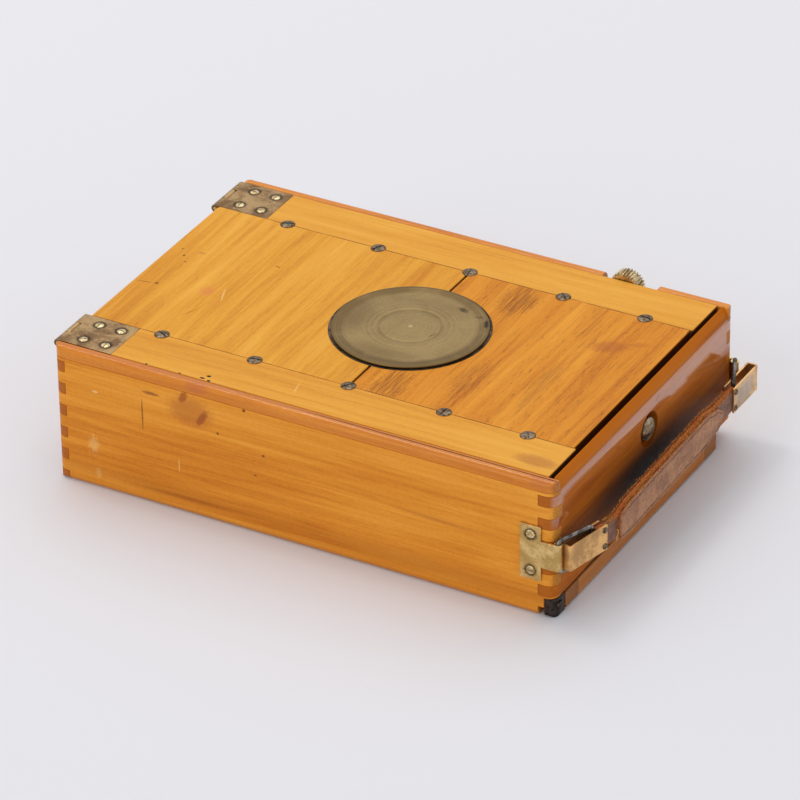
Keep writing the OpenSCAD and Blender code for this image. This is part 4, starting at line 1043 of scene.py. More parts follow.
class Sewn(Pattern):
    """Stitches at an even pitch along a line, each tipped a little."""

    def __init__(self) -> None:
        """Builds the tree: a thread on each point of a resampled line."""
        super().__init__("sewn_line", {"Thread": "Object", "Pitch": "Float", "Tip": "Float", "Seed": "Int"})
        line = self.node("GeometryNodeMeshToCurve", {}, {"Mesh": self.input("Geometry")})
        even = self.node(
            "GeometryNodeResampleCurve", {"mode": "LENGTH"}, {"Curve": line, "Length": self.input("Pitch")}
        )
        thread = self.part("Thread")
        along = {"Vector": self.node("GeometryNodeInputTangent")}
        aimed = self.node("FunctionNodeAlignRotationToVector", {"axis": "X"}, along)
        seed = self.input("Seed")
        spread = {"Min": (-1, -1, -1), "Max": (1, 1, 1), "Seed": seed}
        tip = self.node("FunctionNodeRandomValue", {"data_type": "FLOAT_VECTOR"}, spread)
        reach = {0: tip, "Scale": self.input("Tip")}
        scaled = self.node("ShaderNodeVectorMath", {"operation": "SCALE"}, reach)
        both = {"Rotation": aimed, "Rotate By": self.node("FunctionNodeEulerToRotation", {}, {0: scaled})}
        turned = self.node("FunctionNodeRotateRotation", {"rotation_space": "LOCAL"}, both)
        sizes = {"Min_001": 0.75, "Max_001": 1.25, "Seed": seed}
        size = self.node("FunctionNodeRandomValue", {"data_type": "FLOAT"}, sizes, "Value_001")
        self.end(self.copies(even, thread, turned, size))

    def sew(
        self,
        name: str,
        line: Sequence[Vector],
        thread: bpy.types.Object,
        pitch: float,
        tip: float,
        seed: int,
        finish: Finish,
    ) -> bpy.types.Object:
        """Sews along a line.

        Args:
            name: the piece's name.
            line: the points of the line, in millimetres.
            thread: one stitch or hair, lying along +X.
            pitch: the distance between copies, in millimetres.
            tip: how far copies tip, in degrees.
            seed: the seed of their tipping.
            finish: what they are made of.

        Returns:
            The piece.
        """
        mesh = bpy.data.meshes.new(name + "_line")
        mesh.from_pydata([p * MM for p in line], [(i, i + 1) for i in range(len(line) - 1)], [])
        values = {"Thread": thread, "Pitch": pitch * MM, "Tip": math.radians(tip), "Seed": seed}
        return self.grow(name, link(name + "_base", mesh), finish, values)


class Ribbed(Pattern):
    """Ribs set evenly round a circle, all facing out from its middle."""

    def __init__(self) -> None:
        """Builds the tree: a part on each point of a circle, joined to the base."""
        super().__init__("ribbed_ring", {"Part": "Object", "Count": "Int", "Radius": "Float"})
        circle = {"Vertices": self.input("Count"), "Radius": self.input("Radius")}
        ring = self.node("GeometryNodeMeshCircle", {}, circle)
        outward = {"Vector": self.node("GeometryNodeInputPosition")}
        facing = self.node("FunctionNodeAlignRotationToVector", {"axis": "X"}, outward)
        ribs = self.copies(ring, self.part("Part"), facing)
        joined = self.node("GeometryNodeJoinGeometry", {}, {0: self.input("Geometry")})
        self.tree.links.new(ribs.socket, joined.socket.node.inputs[0])
        self.end(joined)


# ---- The finishes

BED_TOP = Face(Axis.Z, 59.9, 2)
CAP_TOP = Face(Axis.Z, 61, 3)
FRONT_FACE = Face(Axis.Y, -76.3, 2)

NEAR_BLACK = (28, 16, 8)
RED_STAIN = (158, 74, 34)
PALE_SCRATCH = (250, 212, 140)
# Colour of the painted shade in the gap by the handle wall.
GAP_PAINTED_SHADE = (44, 20, 6)
SPLIT = Mark((LENS_X, 0, 55), (0.55, 200, 30), NEAR_BLACK, 1.0, soft=0.12, ragged=0.0)
# Painted shade: the end faces of the right panel and the rails, in the gap by the handle wall, are darkened
# to near black.
PANEL_END_PAINTED_SHADE = Mark((104.1, 0, 55.2), (1.0, 400, 4.5), GAP_PAINTED_SHADE, 0.95, soft=0.12, ragged=0.0)
RAIL_END_PAINTED_SHADE = Mark((105.1, 0, 55.2), (1.0, 400, 4.5), GAP_PAINTED_SHADE, 0.95, soft=0.12, ragged=0.0)

PANEL_LEFT = Timber(
    "panel_left_wood",
    light=(240, 178, 70), mid=(226, 157, 48), dark=(204, 128, 30),
    along=Axis.Y,
    shift=1.3,
    pores=0.3,
    pore_tint=(140, 76, 24),
    seam=BOARD_SEAM,
    marks=(
        BED_TOP.mark((-104.1, 12.7), (0.5, 0.5), NEAR_BLACK, 0.9),
        BED_TOP.mark((-100.8, 8.2), (0.6, 0.8), NEAR_BLACK, 0.9),
        BED_TOP.mark((-97.8, 4.1), (0.6, 0.5), NEAR_BLACK, 0.9),
        BED_TOP.mark((-103.8, -16.8), (5, 0.35), (150, 76, 26), 0.8, 10),
        BED_TOP.mark((-99.1, -15.8), (1.1, 0.9), (96, 40, 16), 0.95),
        BED_TOP.mark((-78.1, -11.9), (4.5, 5), (222, 130, 70), 0.5),
        BED_TOP.mark((-63, 17.6), (1.8, 0.4), (130, 66, 30), 0.8, -15),
        BED_TOP.mark((-95.4, 13.1), (2.2, 0.9), (196, 116, 60), 0.6),
        BED_TOP.mark((-71, -11.7), (0.5, 6), PALE_SCRATCH, 0.5, 20),
        BED_TOP.mark((-76, -29.3), (0.4, 5), (190, 96, 30), 0.6, -25),
        SPLIT,
    ),
)
PANEL_RIGHT = Timber(
    "panel_right_wood",
    light=(234, 158, 48), mid=(217, 137, 33), dark=(188, 104, 20),
    along=Axis.Y,
    shift=5.9,
    pores=0.55,
    pore_tint=(112, 60, 20),
    seam=BOARD_SEAM,
    burl=0.22,
    marks=(
        BED_TOP.mark((82.3, 23.4), (10.5, 5.6), (172, 90, 40), 0.5, 25, soft=0.6, ragged=0.5),
        BED_TOP.mark((92, 30), (5, 2.6), (186, 100, 36), 0.4, 25),
        BED_TOP.mark((34.5, 39.2), (10, 16), (126, 66, 16), 0.6, ragged=0.5, streak=Axis.Y),
        BED_TOP.mark((20.6, -41.2), (9, 17), (118, 60, 14), 0.6, ragged=0.5, streak=Axis.Y),
        BED_TOP.mark((46, -23.6), (7, 20), (130, 70, 20), 0.5, ragged=0.5, streak=Axis.Y),
        BED_TOP.mark((72, -10), (5, 24), (146, 80, 24), 0.35, ragged=0.5, streak=Axis.Y),
        SPLIT,
        PANEL_END_PAINTED_SHADE,
    ),
)
RAIL_WOOD = {
    "light": (238, 176, 72), "mid": (228, 159, 54), "dark": (210, 136, 38), "pores": 0.12, "seam": BOARD_SEAM,
}
RAIL_FRONT = Timber(
    "rail_front_wood",
    **RAIL_WOOD,
    shift=2.2,
    marks=(
        BED_TOP.mark((-44.3, -67.9), (1.0, 0.8), NEAR_BLACK, 1.0, soft=0.3),
        BED_TOP.mark((-45.9, -70.2), (1.2, 0.6), NEAR_BLACK, 1.0, soft=0.3),
        BED_TOP.mark((-42.7, -70.8), (0.9, 0.6), NEAR_BLACK, 1.0, soft=0.3),
        BED_TOP.mark((-55.6, -71.0), (0.9, 0.4), NEAR_BLACK, 0.9),
        BED_TOP.mark((-70.5, -71.0), (0.7, 0.5), NEAR_BLACK, 0.9),
        BED_TOP.mark((-10, -60), (0.3, 5), PALE_SCRATCH, 0.6, 12),
        BED_TOP.mark((96, -64), (12, 5), (170, 100, 50), 0.5),
        RAIL_END_PAINTED_SHADE,
    ),
)
RAIL_BACK = Timber("rail_back_wood", **RAIL_WOOD, shift=8.4, marks=(RAIL_END_PAINTED_SHADE,))
FRONT_WALL = Timber(
    "front_wall_wood",
    light=(246, 172, 66), mid=(230, 148, 46), dark=(206, 120, 30),
    shift=3.1,
    pores=0.14,
    marks=(
        FRONT_FACE.mark((-51.2, 53), (2.2, 3.6), RED_STAIN, 0.75, 30),
        FRONT_FACE.mark((-43.1, 45.6), (2.0, 5.5), RED_STAIN, 0.85, 32),
        FRONT_FACE.mark((-48.2, 47.2), (13, 9), (176, 96, 44), 0.5),
        FRONT_FACE.mark((-70, 40), (0.5, 9.5), (130, 70, 34), 0.75),
        FRONT_FACE.mark((-66, 50.6), (5, 1), (130, 66, 34), 0.7),
        FRONT_FACE.mark((-24.1, 54.6), (1.0, 0.9), (110, 48, 22), 0.9),
        FRONT_FACE.mark((-16, 36.6), (0.9, 0.8), (110, 60, 26), 0.8),
        FRONT_FACE.mark((-19.8, 26.7), (0.9, 0.5), (130, 70, 26), 0.8),
        FRONT_FACE.mark((-36.1, 40.9), (0.8, 0.8), (110, 54, 22), 0.8),
        FRONT_FACE.mark((-93.1, 19.7), (3, 5), PALE_SCRATCH, 0.3, ragged=0.9),
        FRONT_FACE.mark((-91.3, 7), (1.6, 3), PALE_SCRATCH, 0.35, ragged=0.9),
        FRONT_FACE.mark((-54.1, 21.2), (0.35, 4), PALE_SCRATCH, 0.5),
        FRONT_FACE.mark((-91.5, 44.2), (2, 0.7), PALE_SCRATCH, 0.7, ragged=0.7),
        FRONT_FACE.mark((-48.9, 7.1), (38, 1.6), (168, 92, 32), 0.65, -1, soft=0.9),
        FRONT_FACE.mark((10, 8), (300, 6), (176, 94, 20), 0.45, soft=0.9, ragged=0.2),
        FRONT_FACE.mark((0, 0.6), (300, 2.4), (206, 132, 52), 0.6, soft=0.4, ragged=0.2),
        FRONT_FACE.mark((60, 30), (26, 1.2), (176, 104, 44), 0.5, 2, soft=0.9),
    ),
)
BACK_WALL = Timber(
    "back_wall_wood", light=(240, 166, 62), mid=(226, 144, 44), dark=(200, 116, 28), shift=9.7, pores=0.25
)
BEAD_WOOD = Timber(
    "bead_wood",
    light=(232, 152, 54), mid=(216, 130, 36), dark=(196, 108, 24),
    shift=4.4,
    pores=0.12,
    coat=0.5,
    rough=0.14,
    marks=(
        Mark((-45.5, -75, 58.4), (7, 4, 3), (196, 104, 60), 0.5),
        Mark((104, -74, 58), (7, 4, 4), (196, 108, 44), 0.6),
    ),
)
RED_WOOD = {
    "light": (206, 122, 34), "mid": (184, 99, 20), "dark": (150, 72, 12),
    "pores": 0.3, "along": Axis.Y, "end_tint": (176, 104, 44),
}
HINGE_WALL = Timber("hinge_wall_wood", **RED_WOOD, shift=6.1)
HANDLE_WALL = Timber(
    "handle_wall_wood",
    **RED_WOOD,
    shift=7.7,
    coat=1.0,
    coat_ior=2.1,
    rough=0.14,
    gloss=0.06,
    shine=(37, 55.3),
    marks=(
        Mark((107.5, 0, 60.5), (3.2, 300, 5.2), (200, 108, 4), 0.85, soft=0.15, ragged=0.05),
        # Painted shade: the wall's inner face over the door gap, darkened to near black.
        Mark((105, 0, 51), (2.9, 77.5, 9.4), NEAR_BLACK, 0.97, soft=0.12, ragged=0.0),
        # Painted shade: a dark patch fading outwards behind the strap, standing for the strap's shadow and
        # the shaded space behind it; it stays on the wall when the strap is pulled out.
        Mark((110, 0, 28), (3, 96, 18.5), (16, 7, 2), 1.0, soft=1.0, ragged=0.06),
        # Painted shade: a dark line along the wall's foot, where the slit there is in shade.
        Mark((110, -4, 8.4), (3, 70, 1.1), (16, 7, 2), 1.0, soft=0.3, ragged=0.1),
        Mark((110, 71, 55), (2, 3.5, 1.0), (70, 36, 16), 0.7, (30, 0, 0)),
        Mark((110, 9.7, 52.4), (2, 2.4, 1.1), (90, 50, 30), 0.6, (30, 0, 0), ragged=0.8),
        Mark((110, -24, 48), (2, 2, 0.8), (90, 50, 30), 0.5, ragged=0.8),
    ),
)
INNER_BOARDS = {
    "light": (196, 134, 74), "mid": (172, 108, 54), "dark": (140, 80, 38), "coat": 0.25, "rough": 0.35,
}
INNER_WOOD = Timber("inner_wood", **INNER_BOARDS, shift=12.0)
INNER_CROSS = Timber("inner_cross_wood", **INNER_BOARDS, along=Axis.Y, shift=14.0)
SCREEN_WOOD = Timber(
    "screen_wood", light=(206, 140, 76), mid=(184, 114, 56), dark=(150, 84, 38), along=Axis.Y, shift=15.0
)

CAP_FINISH = CapBrass(
    "cap_brass",
    face=(154, 129, 83), tarnish=(108, 87, 51), grime=(60, 50, 34),
    rough=0.26,
    scratches=0.35,
    marks=(
        CAP_TOP.mark((19.4, 20.6), (3.4, 1.9), (58, 44, 28), 0.8, -20, soft=0.7, ragged=0.5),
        CAP_TOP.mark((32.5, 14.8), (1.1, 4), (40, 30, 20), 0.9, 28, soft=0.5, ragged=0.5),
        CAP_TOP.mark((28, 18.5), (2.4, 1.2), (70, 56, 36), 0.6, 10, soft=0.6, ragged=0.8),
        CAP_TOP.mark((LENS_X, 0), (1.3, 1.3), (206, 186, 130), 0.6, soft=0.8),
        CAP_TOP.mark((17.6, -2.2), (0.4, 3.2), (70, 58, 40), 0.7, -14, soft=0.5),
        # Painted shade: the two broad dark patches on the left and near side of the dish.
        CAP_TOP.mark((-17, -4), (11, 25), (108, 84, 48), 0.5, soft=0.9, ragged=0.1),
        CAP_TOP.mark((5, -23), (25, 8), (108, 84, 48), 0.45, soft=0.9, ragged=0.1),
    ),
)
HINGE_BRASS = Brass(
    "hinge_brass",
    face=(176, 144, 98), tarnish=(118, 89, 58), grime=(60, 44, 30),
    rough=0.3,
    patch=9,
    scratches=0.5,
    # Painted shade: dark rings round the plate screws, standing for the shade in their countersinks.
    marks=tuple(
        Mark((PLATE_X + dx, side * (PLATE_Y + dy), 60), (3.5, 3.5, 3), (44, 32, 20), 0.85, soft=0.4)
        for dx in (-PLATE_DX, PLATE_DX)
        for side, dy in ((-1, PLATE_DY), (-1, -PLATE_DY), (1, -PLATE_DY), (1, PLATE_DY))
    ),
)
ANCHOR_BRASS = Brass(
    "anchor_brass",
    face=(232, 202, 138), tarnish=(192, 158, 96), grime=(70, 56, 30),
    rough=0.32,
    patch=8,
    # Painted shade: dark rings round the anchor screws, standing for the shade in their countersinks.
    marks=tuple(
        Mark((ANCHOR_X, y, STRAP_Z + dz), (3.4, 3, 3.4), (56, 42, 22), 0.85, soft=0.4)
        for y in (-77, 77)
        for dz in (-ANCHOR_DZ, ANCHOR_DZ)
    ),
)
CLIP_BRASS = Brass(
    "clip_brass",
    face=(240, 190, 122), tarnish=(190, 147, 96), grime=(80, 60, 40),
    rough=0.3,
    patch=9,
    marks=(Mark((121, 66, 28.3), (8, 14, 8), (180, 170, 160), 0.75, soft=0.8),),
)
BRIGHT_BRASS = Brass("bright_brass_metal", face=(214, 186, 120), tarnish=(176, 142, 82), rough=0.24)
SCREW_BRIGHT = Brass(
    "screw_bright_metal",
    face=(226, 208, 164), tarnish=(176, 150, 104), grime=(90, 76, 50),
    rough=0.22,
    patch=1.5,
)
SCREW_DARK = Brass(
    "screw_dark_metal",
    face=(132, 116, 94), tarnish=(80, 66, 50), grime=(34, 26, 20),
    rough=0.3,
    patch=1.3,
)
RIM_METAL = Brass("rim_metal", face=(96, 84, 66), tarnish=(46, 38, 30), grime=(20, 16, 12), rough=0.38)
KNOB_METAL = Brass(
    "knob_metal", face=(226, 208, 166), tarnish=(150, 124, 86), grime=(50, 38, 26), rough=0.26, patch=3
)
BLACK_METAL = Plain("black_metal_skin", (44, 40, 38), (26, 23, 22), 2.2, 0.36, 0.4)
RUSTY_SHOE = Plain("corner_shoe_skin", (70, 56, 48), (34, 26, 22), 1.6, 0.34, 0.6)
WIRE_METAL = Brass(
    "wire_metal",
    face=(150, 146, 140), tarnish=(74, 68, 62), grime=(34, 28, 24),
    rough=0.3,
    patch=6,
    scratches=0.0,
)
SPRING_STEEL = Plain("spring_steel_skin", (170, 170, 172), (130, 128, 128), 1.5, 0.28, 1.0)
BUTTON_BRASS = Brass(
    "button_brass", face=(176, 158, 130), tarnish=(112, 92, 70), grime=(40, 30, 22), rough=0.26, patch=2.5
)
GROUND_GLASS = Plain("ground_glass_skin", (226, 232, 230), (214, 222, 220), 1.0, 0.55, 0.0, 0.7, 0.15)
CLEAR_GLASS = Plain("clear_glass_skin", (250, 250, 252), (244, 246, 250), 9.0, 0.02, 0.0, 1.0, 0.0)
STRAP_LEATHER = Leather(
    "base_strap_leather",
    face=(140, 96, 74), deep=(84, 52, 38), raw=(208, 106, 16),
    marks=(Mark((119, -51, 33), (4, 4.5, 3.5), (112, 96, 56), 0.55, soft=0.9, ragged=0.6),),
)
COVER_LEATHER = Leather(
    "strap_cover_leather",
    face=(194, 136, 92), deep=(112, 66, 42), raw=(208, 106, 16),
    crease=1.3,
    rough=0.46,
    marks=(Mark((121, 50, 27), (4, 6, 5), (70, 46, 36), 0.5, soft=0.9, ragged=0.6),),
)
BELLOWS_LEATHER = Leather(
    "bellows_leather", face=(128, 34, 26), deep=(66, 14, 12), raw=(110, 40, 26), crease=0.9
)
HAIR_FIBRE = Plain("raw_fibre", (212, 122, 30), (224, 158, 66), 3.0, 0.7, 0.0, 0.0, 0.01)
THREAD_DARK = Plain("thread_dark", (104, 66, 48), (78, 48, 36), 1.0, 0.75, 0.0, 0.0, 0.01)
THREAD_PALE = Plain("thread_pale", (226, 172, 96), (206, 142, 66), 1.0, 0.75, 0.0, 0.0, 0.01)


# ---- Sub-assemblies


@dataclass
class Assembly:
    """A sub-assembly: it builds its pieces and dresses its CAD nodes."""

    nodes: dict[str, bpy.types.Object]

    def settle(
        self,
        piece: bpy.types.Object,
        body: Body,
        slot: Slot,
        finish: Finish | None = None,
        stands_for: Sequence[str] = (),
    ) -> None:
        """Finishes a piece and lets it ride.

        Args:
            piece: the piece, in place.
            body: the CAD body that it moves with.
            slot: the record's material slot; not used.
            finish: its finish, or None where its tree has set one.
            stands_for: the CAD nodes that it replaces.
        """
        if finish is not None:
            piece.data.materials.clear()
            piece.data.materials.append(finish.material())
        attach(piece, body.value)
        if stands_for:
            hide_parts(*stands_for)
        LOG.info("%s: %d faces on %s", piece.name, len(piece.data.polygons), body.value)

    def wear(self, node: str, name: str, width: float, body: Body, slot: Slot, finish: Finish) -> None:
        """Replaces a CAD node by its copy with worn edges."""
        self.settle(worn_copy(self.nodes[node], name, width), body, slot, finish, [node])

    def paint(self, finish: Finish, *names: str) -> None:
        """Gives CAD nodes a finish.

        Args:
            finish: the finish.
            names: the nodes' names.
        """
        for name in names:
            node = self.nodes[name]
            for place in node.material_slots:
                place.material = finish.material()
            if not node.material_slots:
                node.data.materials.append(finish.material())
            LOG.info("%s dressed in %s", name, finish.name)


@dataclass
class Case(Assembly):
    """The body's walls, beads, slide and inner frames."""

    edge: float = 0.3
    bead_edge: float = 0.5

    def build(self) -> None:
        """Makes the visible woodwork with worn edges."""
        self.wear("front_side_wall", "front_wall", self.edge, Body.CASE, Slot.HONEY, FRONT_WALL)
        self.wear("back_side_wall", "back_wall", self.edge, Body.CASE, Slot.HONEY, BACK_WALL)
        self.wear("hinge_end_wall", "hinge_wall", self.edge, Body.CASE, Slot.RED, HINGE_WALL)
        self.wear("handle_end_wall", "handle_wall", self.edge, Body.CASE, Slot.RED, HANDLE_WALL)
        self.wear("side_beads", "beads", self.bead_edge, Body.CASE, Slot.HONEY, BEAD_WOOD)

    def dress(self) -> None:
        """Finishes the inner pieces."""
        self.paint(INNER_WOOD, "slide_runners", "back_frame", "body_rails")
        self.paint(SCREEN_WOOD, "screen_rails")
        self.paint(INNER_WOOD, "screen_stiles")
        self.paint(RUSTY_SHOE, "corner_shoe")
        self.paint(GROUND_GLASS, "ground_glass")
        self.paint(BRIGHT_BRASS, "glass_clips", "stay_guides")


@dataclass
class Bed(Assembly):
    """The bed's boards, its hinges, screws, track and stays."""

    edge: float = 0.2
    plate_edge: float = 0.1
    top: float = 59.9
    screw_xs: tuple[float, ...] = (-76.6, -34.8, LENS_X, 48.5, 84.5)

    def build(self, planted: Planted) -> None:
        """Makes the boards, the hinge plates and their screws."""
        self.wear("door_panel_left", "panel_left", self.edge, Body.BED, Slot.HONEY, PANEL_LEFT)
        self.wear("door_panel_right", "panel_right", self.edge, Body.BED, Slot.HONEY, PANEL_RIGHT)
        self.wear("door_rail_front", "rail_front", self.edge, Body.BED, Slot.HONEY, RAIL_FRONT)
        self.wear("door_rail_back", "rail_back", self.edge, Body.BED, Slot.HONEY, RAIL_BACK)
        self.wear("hinge_plates", "hinge_plate_pair", self.plate_edge, Body.BED, Slot.DARK_BRASS, HINGE_BRASS)
        places = [
            ((x, side * BOARD_SEAM, self.top + 0.05), (0, 0, 37 * i + 25 * side))
            for side in (-1, 1)
            for i, x in enumerate(self.screw_xs)
        ]
        screws = planted.plant("bed_screws", screw_head("bed_screw", 3.0, 5), places, SCREW_DARK)
        self.settle(screws, Body.BED, Slot.SCREW_BRASS, None, ["door_screws"])
        places = [
            ((PLATE_X + dx * PLATE_DX, side * (PLATE_Y + dy * PLATE_DY), self.top - 0.1),
             (0, 0, side * (50 * dx + 35 * dy)))
            for side in (-1, 1)
            for dx in (-1, 1)
            for dy in (-1, 1)
        ]
        head = screw_head("plate_screw", SMALL_HEAD, 4.6)
        screws = planted.plant("plate_screws", head, places, SCREW_BRIGHT)
        self.settle(screws, Body.BED, Slot.SCREW_BRASS, None, ["hinge_plate_screws"])

    def dress(self) -> None:
        """Finishes the bed's other pieces."""
        self.paint(RIM_METAL, "lens_opening_ring")
        self.paint(HINGE_BRASS, "hinge_leaves")
        self.paint(INNER_WOOD, "track_guides", "focus_track")
        self.paint(BRIGHT_BRASS, "stay_brackets", "stay_front", "stay_back", "focus_racks", "shaft_bearings")
        self.paint(BRIGHT_BRASS, "hinge_pins", "door_hook", "pinion_shaft")


def screw_head(name: str, radius: float, length: float) -> bpy.types.Object:
    """A slotted oval-head screw, head up at the origin.

    Args:
        name: the object's name.
        radius: the head's radius.
        length: the screw's length below its head's rim.

    Returns:
        The object, in metres.
    """
    shank, crown, half_slot, depth = radius * 0.4, radius * 0.2, radius * 0.11, 0.5
    dome = [(radius * math.cos(a), crown * math.sin(a)) for a in turns(6, step=15)]
    profile = [(0, -length), (shank, -length + 0.6), (shank, shank - radius), (radius, -0.12)]
    head = spin(name, [*profile, *dome, (0, crown)], Matrix.Identity(4), 40, 32)
    work = bmesh.new()
    bmesh.ops.create_cube(work, size=1)
    block = Vector((3 * radius, 2 * half_slot, 1.4))
    bmesh.ops.scale(work, vec=block * MM, verts=work.verts)
    bmesh.ops.translate(work, vec=Vector((0, 0, crown - depth + block.z / 2)) * MM, verts=work.verts)
    slot = from_bmesh(name + "_slot", work)
    cut = head.modifiers.new("slot", "BOOLEAN")
    cut.operation = "DIFFERENCE"
    cut.object = slot
    cut.solver = "EXACT"
    made = plain_copy(head, name)
    bpy.data.objects.remove(slot)
    return smooth(made, 32)


@dataclass
class LensCap(Assembly):
    """The spun brass cap over the lens opening."""

    lip: float = 31.1
    lip_low: float = 59.95
    top: float = 60.9
    skirt: float = 54.7
    wall: float = 1.1
    ring_depth: float = 0.1
    dish_depth: float = 0.22
    dish: tuple[Pair, ...] = ((0, 0.45), (12, 0.6), (22, 0.9), (27.2, 1.0), (28.65, 0.35))

    def build(self) -> None:
        """Spins the cap with a shallow dish, a rolled edge and a faint turned ring."""
        top, r, lip, steps = self.top, CAP_RADIUS, self.lip, 25
        profile = [(0.0, top - 0.12)]
        for k in range(1, steps + 1):
            at = self.dish[-1][0] * k / steps
            ring = self.ring_depth * math.exp(-(((at - CAP_RING) / 0.7) ** 2))
            profile.append((at, top - self.dish_depth * table(at, self.dish) - ring))
        half = (top - self.lip_low) / 2
        roll = turns(11, 90, -18)
        profile += [(lip - half + half * math.cos(a), top - half + half * math.sin(a)) for a in roll]
        inner, roof = r - self.wall, top - self.wall
        profile += [(r, self.lip_low), (r, self.skirt + 0.2), (r - 0.2, self.skirt), (inner, self.skirt)]
        profile += [(inner, roof - 0.6), (inner - 0.8, roof - 0.25), (0.0, roof - 0.25)]
        cap = spin("cap_shell", profile, Matrix.Translation((LENS_X, 0, 0)), 128, 40)
        self.settle(cap, Body.CAP, Slot.DARK_BRASS, CAP_FINISH, ["lens_cap"])


@dataclass
class FocusKnob(Assembly):
    """The ribbed knob on the pinion shaft."""

    at: Triple = (64.0, 71.7, 56.0)
    width: float = 5.7
    radius: float = 6.9
    ribs: int = 30
    rib_height: float = 0.75
    hub: float = 2.4

    def build(self, ribbed: Ribbed) -> None:
        """Makes the core and its ribs about the shaft."""
        w, hub, core = self.width, self.hub, self.radius - self.rib_height
        profile = [(0, 0.0), (core - 0.5, 0.0), (core, 0.5), (core, w - 0.5), (core - 0.6, w)]
        profile += [(hub, w), (hub - 0.3, w - 0.3), (0, w - 0.3)]
        body = spin("knob_core", profile, Matrix.Identity(4), 96, 30)
        half = math.pi * self.radius / self.ribs * 0.48
        outline = [(half, -0.5), (half * 0.85, 0.35), (half * 0.45, 0.72)]
        outline = [(-y, x) for y, x in outline] + outline[::-1]
        rows = [
            [Vector((x * shrink if x > 0 else x, y, z)) for y, x in outline]
            for z, shrink in ((0.05, 0.55), (0.55, 1.0), (w - 0.55, 1.0), (w - 0.05, 0.55))
        ]
        ring = {"Part": loft("knob_rib", rows), "Count": self.ribs, "Radius": core * MM}
        knob = ribbed.grow("ribbed_knob", body, KNOB_METAL, ring)
        place = Matrix.Translation(Vector(self.at) * MM)
        knob.data.transform(place @ Matrix.Rotation(math.radians(-90), 4, "X"))
        self.settle(smooth(knob, 40), Body.PINION, Slot.AGED_BRASS, None, ["focus_knob"])


